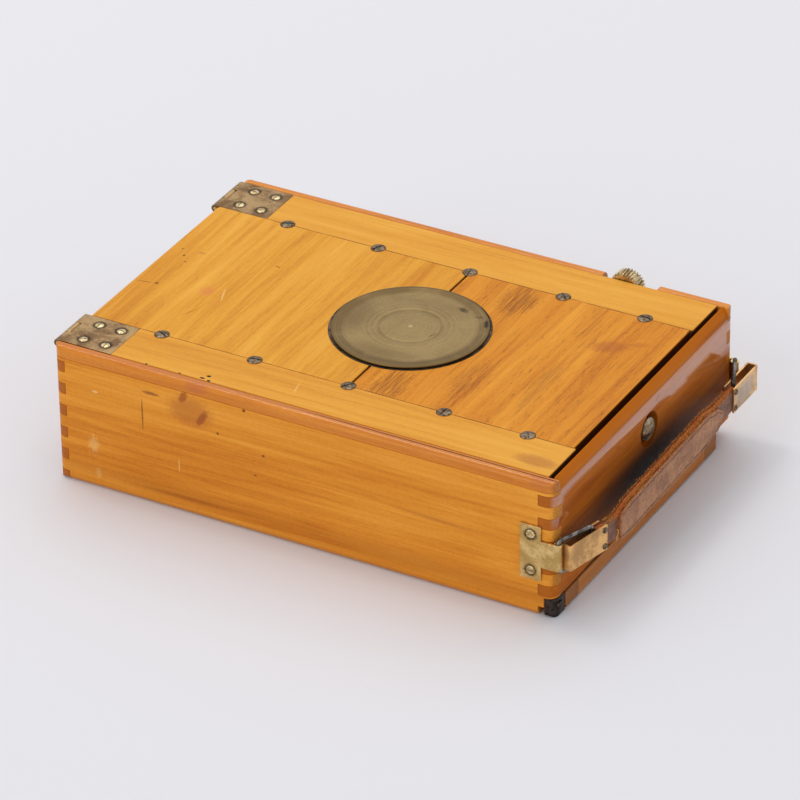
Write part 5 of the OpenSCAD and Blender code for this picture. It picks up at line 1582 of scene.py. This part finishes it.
@dataclass
class Handle(Assembly):
    """The strap with its clips, links, anchors and rivets.

    Args:
        near_fold: the place of the near clip's fold.
        far_fold: the place of the far clip's fold.
        turn: how far the near clip is turned out, in degrees.
        clip_length: the length of the clips.
        bend: the radius of the strap's bend behind the near clip.
        lean: the far part's turn against the wall, in degrees.
        span: the strap's length between its clips.
        tucked: the lengths at which the base strap starts and ends inside its clips.
        covered: the lengths at which the outer leather starts and ends.
        base_half: half the base strap's thickness.
        cover_t: the outer leather's thickness.
        inset: how far the sewing runs inside the outer leather's edges.
        pivot: the links' pivots, the near one mirrored.
        near_pin: the near link's bar, from the fold.
        far_reach: the far link's length.
        wire: the links' half thickness.
        link_half: half the links' height.
        link_round: the radius of their corners.
        base_low: the base strap's lower edge, as (place across, height) pairs.
        base_high: its upper edge.
        cover_low: the outer leather's lower edge.
        cover_high: its upper edge.
    """

    near_fold: Pair = (113.8, -74.6)
    far_fold: Pair = (118.0, 77.6)
    turn: float = 13.6
    clip_length: float = 21.4
    bend: float = 42.0
    lean: float = 1.1
    span: float = 110.3
    tucked: Pair = (-4.4, 112.58)
    covered: Pair = (7.6, 100.2)
    base_half: float = 1.4
    cover_t: float = 1.4
    inset: float = 1.5
    pivot: Pair = (111.2, 75.6)
    near_pin: float = 15.26
    far_reach: float = 17.0
    wire: float = 0.9
    link_half: float = 6.9
    link_round: float = 1.5
    base_low: tuple[Pair, ...] = ((-48, -4.9), (-36, -8), (30, -8), (44, -4.9))
    base_high: tuple[Pair, ...] = ((-48, 4.9), (-36, 7), (30, 7), (44, 4.9))
    cover_low: tuple[Pair, ...] = (
        (-46.3, -0.3), (-46, -3.6), (-45, -6.2), (-36, -7), (30, -7), (40, -5.2), (44.5, -3), (46, -0.3),
    )
    cover_high: tuple[Pair, ...] = (
        (-46.3, 0.3), (-45.6, 3.8), (-44.4, 6.2), (-36, 7), (30, 7), (40, 5.2), (44.5, 2.6), (46, 0.3),
    )

    def near_frame(self) -> tuple[Vector, Vector]:
        """The near clip's direction along the strap and its outward one."""
        t = math.radians(self.turn)
        return Vector((math.sin(t), math.cos(t), 0)), Vector((math.cos(t), -math.sin(t), 0))

    def along(self, s: float) -> tuple[Vector, Vector]:
        """Follows the strap's middle line.

        Args:
            s: the length from the near clip's end.

        Returns:
            The point there and the outward direction.
        """
        ahead, out = self.near_frame()
        start = Vector((*self.near_fold, 0)) + self.clip_length * ahead
        if s < 0:
            return start + s * ahead, out
        centre = start - self.bend * out
        arc = self.bend * math.radians(self.turn + self.lean)
        a = min(s, arc) / self.bend - math.radians(self.turn)
        out = Vector((math.cos(a), math.sin(a), 0))
        return centre + self.bend * out + max(0.0, s - arc) * Vector((-out.y, out.x, 0)), out

    def sway(self, s: float) -> float:
        """The strap's slight waves in and out, zero at its ends."""
        calm = min(1.0, max(0.0, s / 14), max(0.0, (self.span - s) / 14))
        return 0.35 * calm * noise.noise(Vector((s * 0.045, 3.1, 0)))

    @staticmethod
    def attribute(piece: bpy.types.Object, name: str, values: Sequence[float]) -> None:
        """Writes one number per vertex as a named attribute."""
        made = piece.data.attributes.new(name, "FLOAT", "POINT")
        made.data.foreach_set("value", values)

    def build_base(self) -> None:
        """Makes the base strap with raw, frayed edges."""
        rows: Rows = []
        cuts: list[float] = []
        first, last = self.tucked
        count, section = 190, 32
        for i in range(count + 1):
            s = first + (last - first) * i / count
            point, out = self.along(s)
            low, high = table(point.y, self.base_low), table(point.y, self.base_high)
            in_clip = s < 1.0 or s > last - 3.0
            half, rag = (self.base_half * 0.96, 0.0) if in_clip else (self.base_half, 1.0)
            ring = []
            for k, a in enumerate(turns(section)):
                c, d = math.cos(a), math.sin(a)
                across = math.copysign(min(1.0, abs(c) * 1.5), c)
                height = math.copysign(abs(d) ** 0.6, d) if abs(c) < 0.67 else d / 0.745
                z = (low + high) / 2 + (high - low) / 2 * max(-1.0, min(1.0, height))
                fray = 0.16 * rag * noise.noise(Vector((s * 1.7, k * 0.8, 5.0)))
                lift = 0.3 * rag * noise.noise(Vector((s * 0.28, 0.0, 9.0))) * abs(d) ** 4
                offset = across * half + self.sway(s) + fray * 0.5
                ring.append(point + out * offset + Vector((0, 0, STRAP_Z + z + fray + lift)))
                cuts.append(max(0.0, min(1.0, (abs(height) - 0.9) * 14)))
            rows.append(ring)
        strap = loft("strap_base", rows, angle=60)
        self.attribute(strap, "cut", cuts)
        self.settle(strap, Body.HANDLE, Slot.BROWN_LEATHER, STRAP_LEATHER, ["base_strap"])

    def cover_depth(self, s: float, z: float, v: float, edge: float, height: float) -> tuple[float, float]:
        """Shapes the outer leather's front: crowned, puffed and grooved by both edges.

        Args:
            s: the length from the near clip's end.
            z: the height over the strap's middle.
            v: the same as a share of the half height.
            edge: the distance from the nearer edge.
            height: the leather's height here.

        Returns:
            Its depth over the base strap, and the share of groove.
        """
        thin = min(1.0, height / 6.0)
        crown = 1 - abs(v) ** 14
        groove = math.exp(-(((edge - self.inset) / 0.3) ** 2)) if height > 5 else 0.0
        puff = 0.12 * noise.noise(Vector((s * 0.35, z * 0.3, 2.0)))
        puff += 0.08 * noise.noise(Vector((s * 1.1, z * 0.9, 7.0)))
        depth = self.cover_t * (0.62 + 0.36 * crown * thin) - 0.32 * groove + puff * crown
        return max(0.3, depth), groove

    def build_cover(self) -> None:
        """Makes the sewn outer leather, pointed at its ends."""
        rows: Rows = []
        grooves: list[float] = []
        cuts: list[float] = []
        first, last = self.covered
        count, front, back = 220, 33, 11
        for i in range(count + 1):
            share = 0.5 - 0.5 * math.cos(math.pi * i / count)
            s = first + (last - first) * (0.35 * share + 0.65 * i / count)
            point, out = self.along(s)
            low, high = table(point.y, self.cover_low), table(point.y, self.cover_high)
            ring = []
            for k in range(front + back):
                v = -1 + 2 * k / (front - 1) if k < front else 1 - 2 * (k - front + 1) / (back + 1)
                z = (low + high) / 2 + (high - low) / 2 * v
                edge = min(z - low, high - z)
                depth, groove = self.cover_depth(s, z, v, edge, high - low) if k < front else (-0.12, 0.0)
                grooves.append(groove)
                cuts.append(1.0 if edge < 0.2 else 0.0)
                offset = self.base_half + depth + self.sway(s)
                ring.append(point + out * offset + Vector((0, 0, STRAP_Z + z)))
            rows.append(ring)
        cover = loft("strap_outer", rows, angle=60)
        self.attribute(cover, "groove", grooves)
        self.attribute(cover, "cut", cuts)
        self.settle(cover, Body.HANDLE, Slot.BROWN_LEATHER, COVER_LEATHER, ["strap_cover"])

    def line(self, first: float, last: float, offset: float, rim: Callable[[float], float]) -> list[Vector]:
        """Draws a line along the strap.

        Args:
            first: the length at which it starts.
            last: the length at which it ends.
            offset: its distance in front of the strap's middle.
            rim: its height over the strap's middle at a place across the wall.

        Returns:
            Its points.
        """
        points = []
        steps = 120
        for i in range(steps + 1):
            s = first + (last - first) * i / steps
            point, out = self.along(s)
            points.append(point + out * (offset + self.sway(s)) + Vector((0, 0, STRAP_Z + rim(point.y))))
        return points

    def build_sewing(self, sewn: Sewn) -> None:
        """Sews the outer leather's two lines and leaves a loose thread."""
        outer = self.base_half + self.cover_t * 0.95 - 0.26
        for name, edge, inset in (
            ("stitches_low", self.cover_low, self.inset),
            ("stitches_high", self.cover_high, -self.inset),
        ):
            arch = [Vector((x, 0, 0.1 - 0.05 * x * x)) for x in (-0.95, -0.5, 0, 0.5, 0.95)]
            thread = tube("stitch", arch, 0.17, 6)
            line = self.line(14, 88, outer, lambda y, edge=edge, inset=inset: table(y, edge) + inset)
            made = sewn.sew(name, line, thread, 2.5, 5, 4, THREAD_DARK)
            self.settle(made, Body.HANDLE, Slot.BROWN_LEATHER)
        self.build_fray(sewn)
        point, out = self.along(4.6)
        base = point + out * 3.1 + Vector((0, 0, STRAP_Z))
        bends = [(0.2, 0.9), (0.55, 0.1), (0.5, -0.9), (0.15, -1.9), (-0.35, -2.7), (-0.2, -3.5)]
        loose = tube("loose_thread", [base + Vector((0.1, 1.6 * a, b)) for a, b in bends], 0.22, 6)
        self.settle(loose, Body.HANDLE, Slot.BROWN_LEATHER, THREAD_PALE)

    def build_fray(self, sewn: Sewn) -> None:
        """Frays the strap's upper edges into short hairs."""
        base, cover = (self.base_high, 1.5, 107), (self.cover_high, 11, 92)
        for name, offset, seed, (edge, first, last) in (
            ("fray_inner", -1.2, 3, base),
            ("fray_middle", 0.2, 8, base),
            ("fray_outer", 1.25, 17, base),
            ("fray_cover", 2.1, 23, cover),
        ):
            bends = ((0, 0, 0), (0.15, 0.06, 0.16), (0.45, 0.14, 0.24), (0.75, 0.2, 0.2))
            hair = tube("hair", [Vector(bend) for bend in bends], 0.06, 4)
            line = self.line(first, last, offset, lambda y, edge=edge: table(y, edge) - 0.1)
            made = sewn.sew(name, line, hair, 0.34, 85, seed, HAIR_FIBRE)
            self.settle(made, Body.HANDLE, Slot.BROWN_LEATHER)

    def bent_wire(self, start: Vector, end: Vector) -> list[Vector]:
        """Bends a link's wire into a loop with round corners.

        Args:
            start: the middle of the bar at its pivot.
            end: the middle of the bar in the clip.

        Returns:
            The points of its middle line.
        """
        way, length, r = (end - start).normalized(), (end - start).length, self.link_round
        path = []
        for x, side, first in ((length - r, 1, 0), (r, 1, 90), (r, -1, 180), (length - r, -1, 270)):
            for a in turns(7, first, 15):
                height = STRAP_Z + side * (self.link_half - r) + r * math.sin(a)
                path.append(start + way * (x + r * math.cos(a)) + Vector((0, 0, height)))
        return path

    def build_links(self) -> None:
        """Bends the two wire links."""
        x, y = self.pivot
        near = Vector((*self.near_fold, 0)) + self.near_pin * self.near_frame()[0]
        far_x = self.far_fold[0]
        far = Vector((far_x, y - math.sqrt(self.far_reach**2 - (far_x - x) ** 2), 0))
        for name, node, body, start, end in (
            ("wire_front", "link_front", Body.FRONT_LINK, Vector((x, -y, 0)), near),
            ("wire_back", "link_back", Body.BACK_LINK, Vector((x, y, 0)), far),
        ):
            wire = tube(name, self.bent_wire(start, end), self.wire, 14, True)
            self.settle(wire, body, Slot.WIRE, WIRE_METAL, [node])

    def build_rivets(self, planted: Planted) -> None:
        """Sets the rivet heads on both faces of the clips."""
        clip_half, rivet_in, rivet_dz = 2.4, 20, 3.6
        ahead, out = self.near_frame()
        near = Vector((*self.near_fold, STRAP_Z)) + ahead * rivet_in
        far = Vector((*self.far_fold, STRAP_Z)) - Vector((0, rivet_in, 0))
        places = []
        for dz in (-rivet_dz, rivet_dz):
            for at, face, turn in ((near, out, self.turn), (far, Vector((1, 0, 0)), 0)):
                for side, yaw in ((1, -turn), (-1, 180 - turn)):
                    spot = at + Vector((0, 0, dz)) + face * side * clip_half
                    places.append((tuple(spot), (0, 90, yaw)))
        profile = [(0, -2.35), (0.8, -2.35), (0.8, -0.05), (1.3, -0.05), (1.3, 0.1), (1.12, 0.42)]
        profile += [(0.75, 0.66), (0.35, 0.77), (0, 0.8)]
        rivet = spin("rivet", profile, Matrix.Identity(4), 20, 40)
        made = planted.plant("rivet_heads", rivet, places, SCREW_DARK)
        self.settle(made, Body.HANDLE, Slot.SCREW_BRASS, None, ["clip_rivets"])

    def build_wall_screws(self, planted: Planted) -> None:
        """Sets the screws of the anchor plates and of the hinge leaves."""
        plate_y, leaf_x, leaf_z = 77.3, -110.0, 44.2
        places = []
        for side in (-1, 1):
            for step in (-1, 1):
                places.append(((ANCHOR_X, side * plate_y, STRAP_Z + ANCHOR_DZ * step), (-90 * side, 0, 0)))
            for step in (-1, 1):
                places.append(((leaf_x, side * (PLATE_Y + PLATE_DY * step), leaf_z), (0, -90, 0)))
        head = screw_head("wall_screw", SMALL_HEAD, 4.0)
        made = planted.plant("wall_screw_heads", head, places, SCREW_BRIGHT)
        self.settle(made, Body.CASE, Slot.SCREW_BRASS, None, ["wall_screws"])

    def build(self, planted: Planted, sewn: Sewn) -> None:
        """Makes the whole handle."""
        self.build_base()
        self.build_cover()
        self.build_sewing(sewn)
        self.build_links()
        self.build_rivets(planted)
        self.build_wall_screws(planted)
        self.wear("strap_clips", "clip_pair", 0.12, Body.HANDLE, Slot.AGED_BRASS, CLIP_BRASS)
        self.wear("anchor_plates", "anchor_pair", 0.12, Body.CASE, Slot.AGED_BRASS, ANCHOR_BRASS)


@dataclass
class Bellows(Assembly):
    """The pleated leather between the back frame and the standard.

    Args:
        low: the height at which it starts.
        high: the height at which it ends.
        rear: its size at the back frame.
        front: its size at the standard.
        off: how far the back frame's opening lies off the lens axis.
        folds: the number of its pleats.
        depth: how far they go in.
        skin: the leather's thickness.
    """

    low: float = 12.0
    high: float = 23.5
    rear: Pair = (164.1, 118.0)
    front: Pair = (106.0, 106.0)
    off: float = -3.0
    folds: int = 5
    depth: float = 8.0
    skin: float = 0.5

    def outline(self, share: float, inset: float, z: float) -> list[Vector]:
        """Draws one ring of the bellows, with cut corners.

        Args:
            share: its share of the bellows' height.
            inset: how far it lies inside the outer fold.
            z: its height.

        Returns:
            Its points.
        """
        half_x, half_y = ((a * (1 - share) + b * share) / 2 - inset for a, b in zip(self.rear, self.front))
        mid_y = self.off * (1 - share)
        cut = 1.0 + 2.5 * inset / self.depth
        corners = []
        for sx, sy in ((1, 1), (-1, 1), (-1, -1), (1, -1)):
            pair = [(half_x, half_y - cut), (half_x - cut, half_y)]
            if sx * sy < 0:
                pair.reverse()
            corners += [Vector((LENS_X + sx * x, mid_y + sy * y, z)) for x, y in pair]
        ring = []
        for a, b in zip(corners, corners[1:] + corners[:1]):
            steps = max(1, round((b - a).length / 9))
            ring += [a.lerp(b, k / steps) for k in range(steps)]
        return ring

    @staticmethod
    def resampled(ring: list[Vector], count: int) -> list[Vector]:
        """Spreads points evenly round a ring.

        Args:
            ring: the ring.
            count: the number of points to spread.

        Returns:
            The points.
        """
        lengths = [0.0]
        for a, b in zip(ring, ring[1:] + ring[:1]):
            lengths.append(lengths[-1] + (b - a).length)
        made, k = [], 0
        for i in range(count):
            target = lengths[-1] * i / count
            while lengths[k + 1] < target:
                k += 1
            a, b = ring[k], ring[(k + 1) % len(ring)]
            made.append(a.lerp(b, (target - lengths[k]) / (lengths[k + 1] - lengths[k])))
        return made

    def build(self) -> None:
        """Folds the leather and gives it a wall."""
        levels = 2 * self.folds
        count = len(self.outline(0, 0, 0))
        work = bmesh.new()
        grid = []
        for i in range(levels + 1):
            share = i / levels
            ring = self.outline(share, self.depth * (i % 2), self.low + (self.high - self.low) * share)
            grid.append([work.verts.new(point * MM) for point in self.resampled(ring, count)])
        for here, after in zip(grid, grid[1:]):
            join_rings(work, here, after)
        bellows = from_bmesh("pleated_bellows", work, 20)
        wall = bellows.modifiers.new("wall", "SOLIDIFY")
        wall.thickness = self.skin * MM
        wall.offset = -1
        made = smooth(plain_copy(bellows, "pleated_bellows"), 20)
        for name in ("cut", "groove"):
            made.data.attributes.new(name, "FLOAT", "POINT")
        made.data.materials.append(BELLOWS_LEATHER.material())
        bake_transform(made)
        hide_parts("bellows")
        LOG.info("%s: %d faces", made.name, len(made.data.polygons))


@dataclass
class LensUnit(Assembly):
    """The standard with its lens, shutter and stops."""

    def dress(self) -> None:
        """Finishes the CAD nodes of the standard."""
        self.paint(INNER_CROSS, "standard_frame", "lens_board")
        self.paint(BRIGHT_BRASS, "standard_foot", "lens_flange", "lens_barrel")
        self.paint(BRIGHT_BRASS, "stop_wheel", "rear_cell", "shutter_lever")
        self.paint(BLACK_METAL, "shutter_case", "shutter_blade_upper", "shutter_blade_lower")
        self.paint(CLEAR_GLASS, "lens_elements")


@dataclass
class Latch(Assembly):
    """The push-button with its stem, spring and catch."""

    y: float = 2.8
    z: float = 41.6
    radius: float = 4.8
    front: float = 111.2
    back: float = 103.2
    stem: float = 1.6
    stem_start: float = 93.4

    def build(self) -> None:
        """Turns the domed button with its stem."""
        r, steps = self.radius, 12
        ball = 1.6 * r
        rim = self.front - ball + math.sqrt(ball * ball - r * r)
        radii = [r * k / steps for k in range(steps)]
        profile = [(at, self.front - ball + math.sqrt(ball * ball - at * at)) for at in radii]
        profile += [(r - 0.1, rim + 0.05), (r, rim - 0.15), (r, self.back), (self.stem, self.back)]
        profile += [(self.stem, self.stem_start), (0, self.stem_start)]
        place = Matrix.Translation((0, self.y, self.z)) @ Matrix.Rotation(math.radians(90), 4, "Y")
        button = spin("button_dome", profile, place, 64, 40)
        self.settle(button, Body.LATCH, Slot.AGED_BRASS, BUTTON_BRASS, ["push_button"])

    def dress(self) -> None:
        """Finishes the catch."""
        self.paint(BRIGHT_BRASS, "latch_plate", "latch_guide")
        self.paint(SPRING_STEEL, "button_spring")


@dataclass
class Studio:
    """The floor, the backdrop's colour, the lamps and the camera."""

    paper: Triple = rgb((230, 230, 233))
    lens: float = 249.2
    eye: Triple = (914.24, -1624.36, 1157.72)
    right: Triple = (0.87548, 0.48309, -0.01252)
    up: Triple = (-0.24152, 0.45985, 0.85452)
    ahead: Triple = (-0.41857, 0.74509, -0.51926)
    aim: Triple = (0, 0, 30)
    ambient: float = 0.78
    lamps: tuple[tuple[str, Triple, float, float], ...] = (
        ("key", (-500, 1200, 2600), 3000, 28.0),
        ("strip", (-1130, 150, 2400), 500, 7.0),
        ("fill", (-500, -2800, 1700), 1800, 18.0),
    )

    def build_camera(self) -> None:
        """Sets the camera where the photograph was taken from."""
        data = bpy.data.cameras.new("view")
        data.lens = self.lens
        data.sensor_width = 36
        data.clip_start, data.clip_end = 0.05, 50
        made = bpy.data.objects.new("view", data)
        rows = Matrix((self.right, self.up, tuple(-c for c in self.ahead))).transposed().to_4x4()
        made.matrix_world = Matrix.Translation(Vector(self.eye) * MM) @ rows
        bpy.context.scene.collection.objects.link(made)
        bpy.context.scene.camera = made

    def build_floor(self) -> None:
        """Lays a plain pale floor."""
        half, level = 6.0, -0.00005
        corners = [(-half, -half, level), (half, -half, level), (half, half, level), (-half, half, level)]
        mesh = bpy.data.meshes.new("floor")
        mesh.from_pydata(corners, [], [(0, 1, 2, 3)])
        floor = link("floor", mesh)
        skin = Skin("floor_paper")
        tone = {0: self.paper, "Scale": skin.grain(400, 1).ramp(0, 1, 0.995, 1.005)}
        colour = skin.node("ShaderNodeVectorMath", {"operation": "SCALE"}, tone)
        surface = {"Base Color": colour, "Roughness": 0.9, "Specular IOR Level": 0.1}
        floor.data.materials.append(skin.finish(surface))

    def build_world(self) -> None:
        """Lights the scene evenly and shows the backdrop's colour to the camera and in gloss."""
        world = bpy.data.worlds.new("backdrop")
        bpy.context.scene.world = world
        world.use_nodes = True
        sky = Wiring(world.node_tree)
        camera, gloss, through = (
            sky.node("ShaderNodeLightPath", out=ray)
            for ray in ("Is Camera Ray", "Is Glossy Ray", "Is Transmission Ray")
        )
        rays = camera + gloss + through
        seen = rays.math("MINIMUM", rays, 1.0)
        look = {"Color": self.paper, "Strength": seen * (1.0 - self.ambient) + self.ambient}
        sky.close("ShaderNodeOutputWorld", "Surface", sky.node("ShaderNodeBackground", {}, look))

    def build_lamps(self) -> None:
        """Hangs large soft lamps that aim at the object."""
        for name, at, size, power in self.lamps:
            data = bpy.data.lights.new(name, "AREA")
            data.shape = "SQUARE"
            data.size = size * MM
            data.energy = power
            lamp = bpy.data.objects.new(name, data)
            lamp.location = Vector(at) * MM
            way = Vector(self.aim) * MM - lamp.location
            lamp.rotation_euler = way.to_track_quat("-Z", "Y").to_euler()
            bpy.context.scene.collection.objects.link(lamp)

    def build(self) -> None:
        """Makes the whole studio."""
        self.build_camera()
        self.build_floor()
        self.build_world()
        self.build_lamps()
        bpy.context.scene.view_settings.view_transform = "Standard"


def main() -> None:
    """Builds the studio and each sub-assembly round the CAD frame."""
    logging.basicConfig(level=logging.INFO, format="%(message)s")
    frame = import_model()
    nodes = frame["nodes"]
    Studio().build()
    planted, sewn, ribbed = Planted(), Sewn(), Ribbed()
    case = Case(nodes)
    case.build()
    case.dress()
    bed = Bed(nodes)
    bed.build(planted)
    bed.dress()
    LensCap(nodes).build()
    FocusKnob(nodes).build(ribbed)
    Handle(nodes).build(planted, sewn)
    Bellows(nodes).build()
    LensUnit(nodes).dress()
    latch = Latch(nodes)
    latch.build()
    latch.dress()


if __name__ == "__main__":
    main()
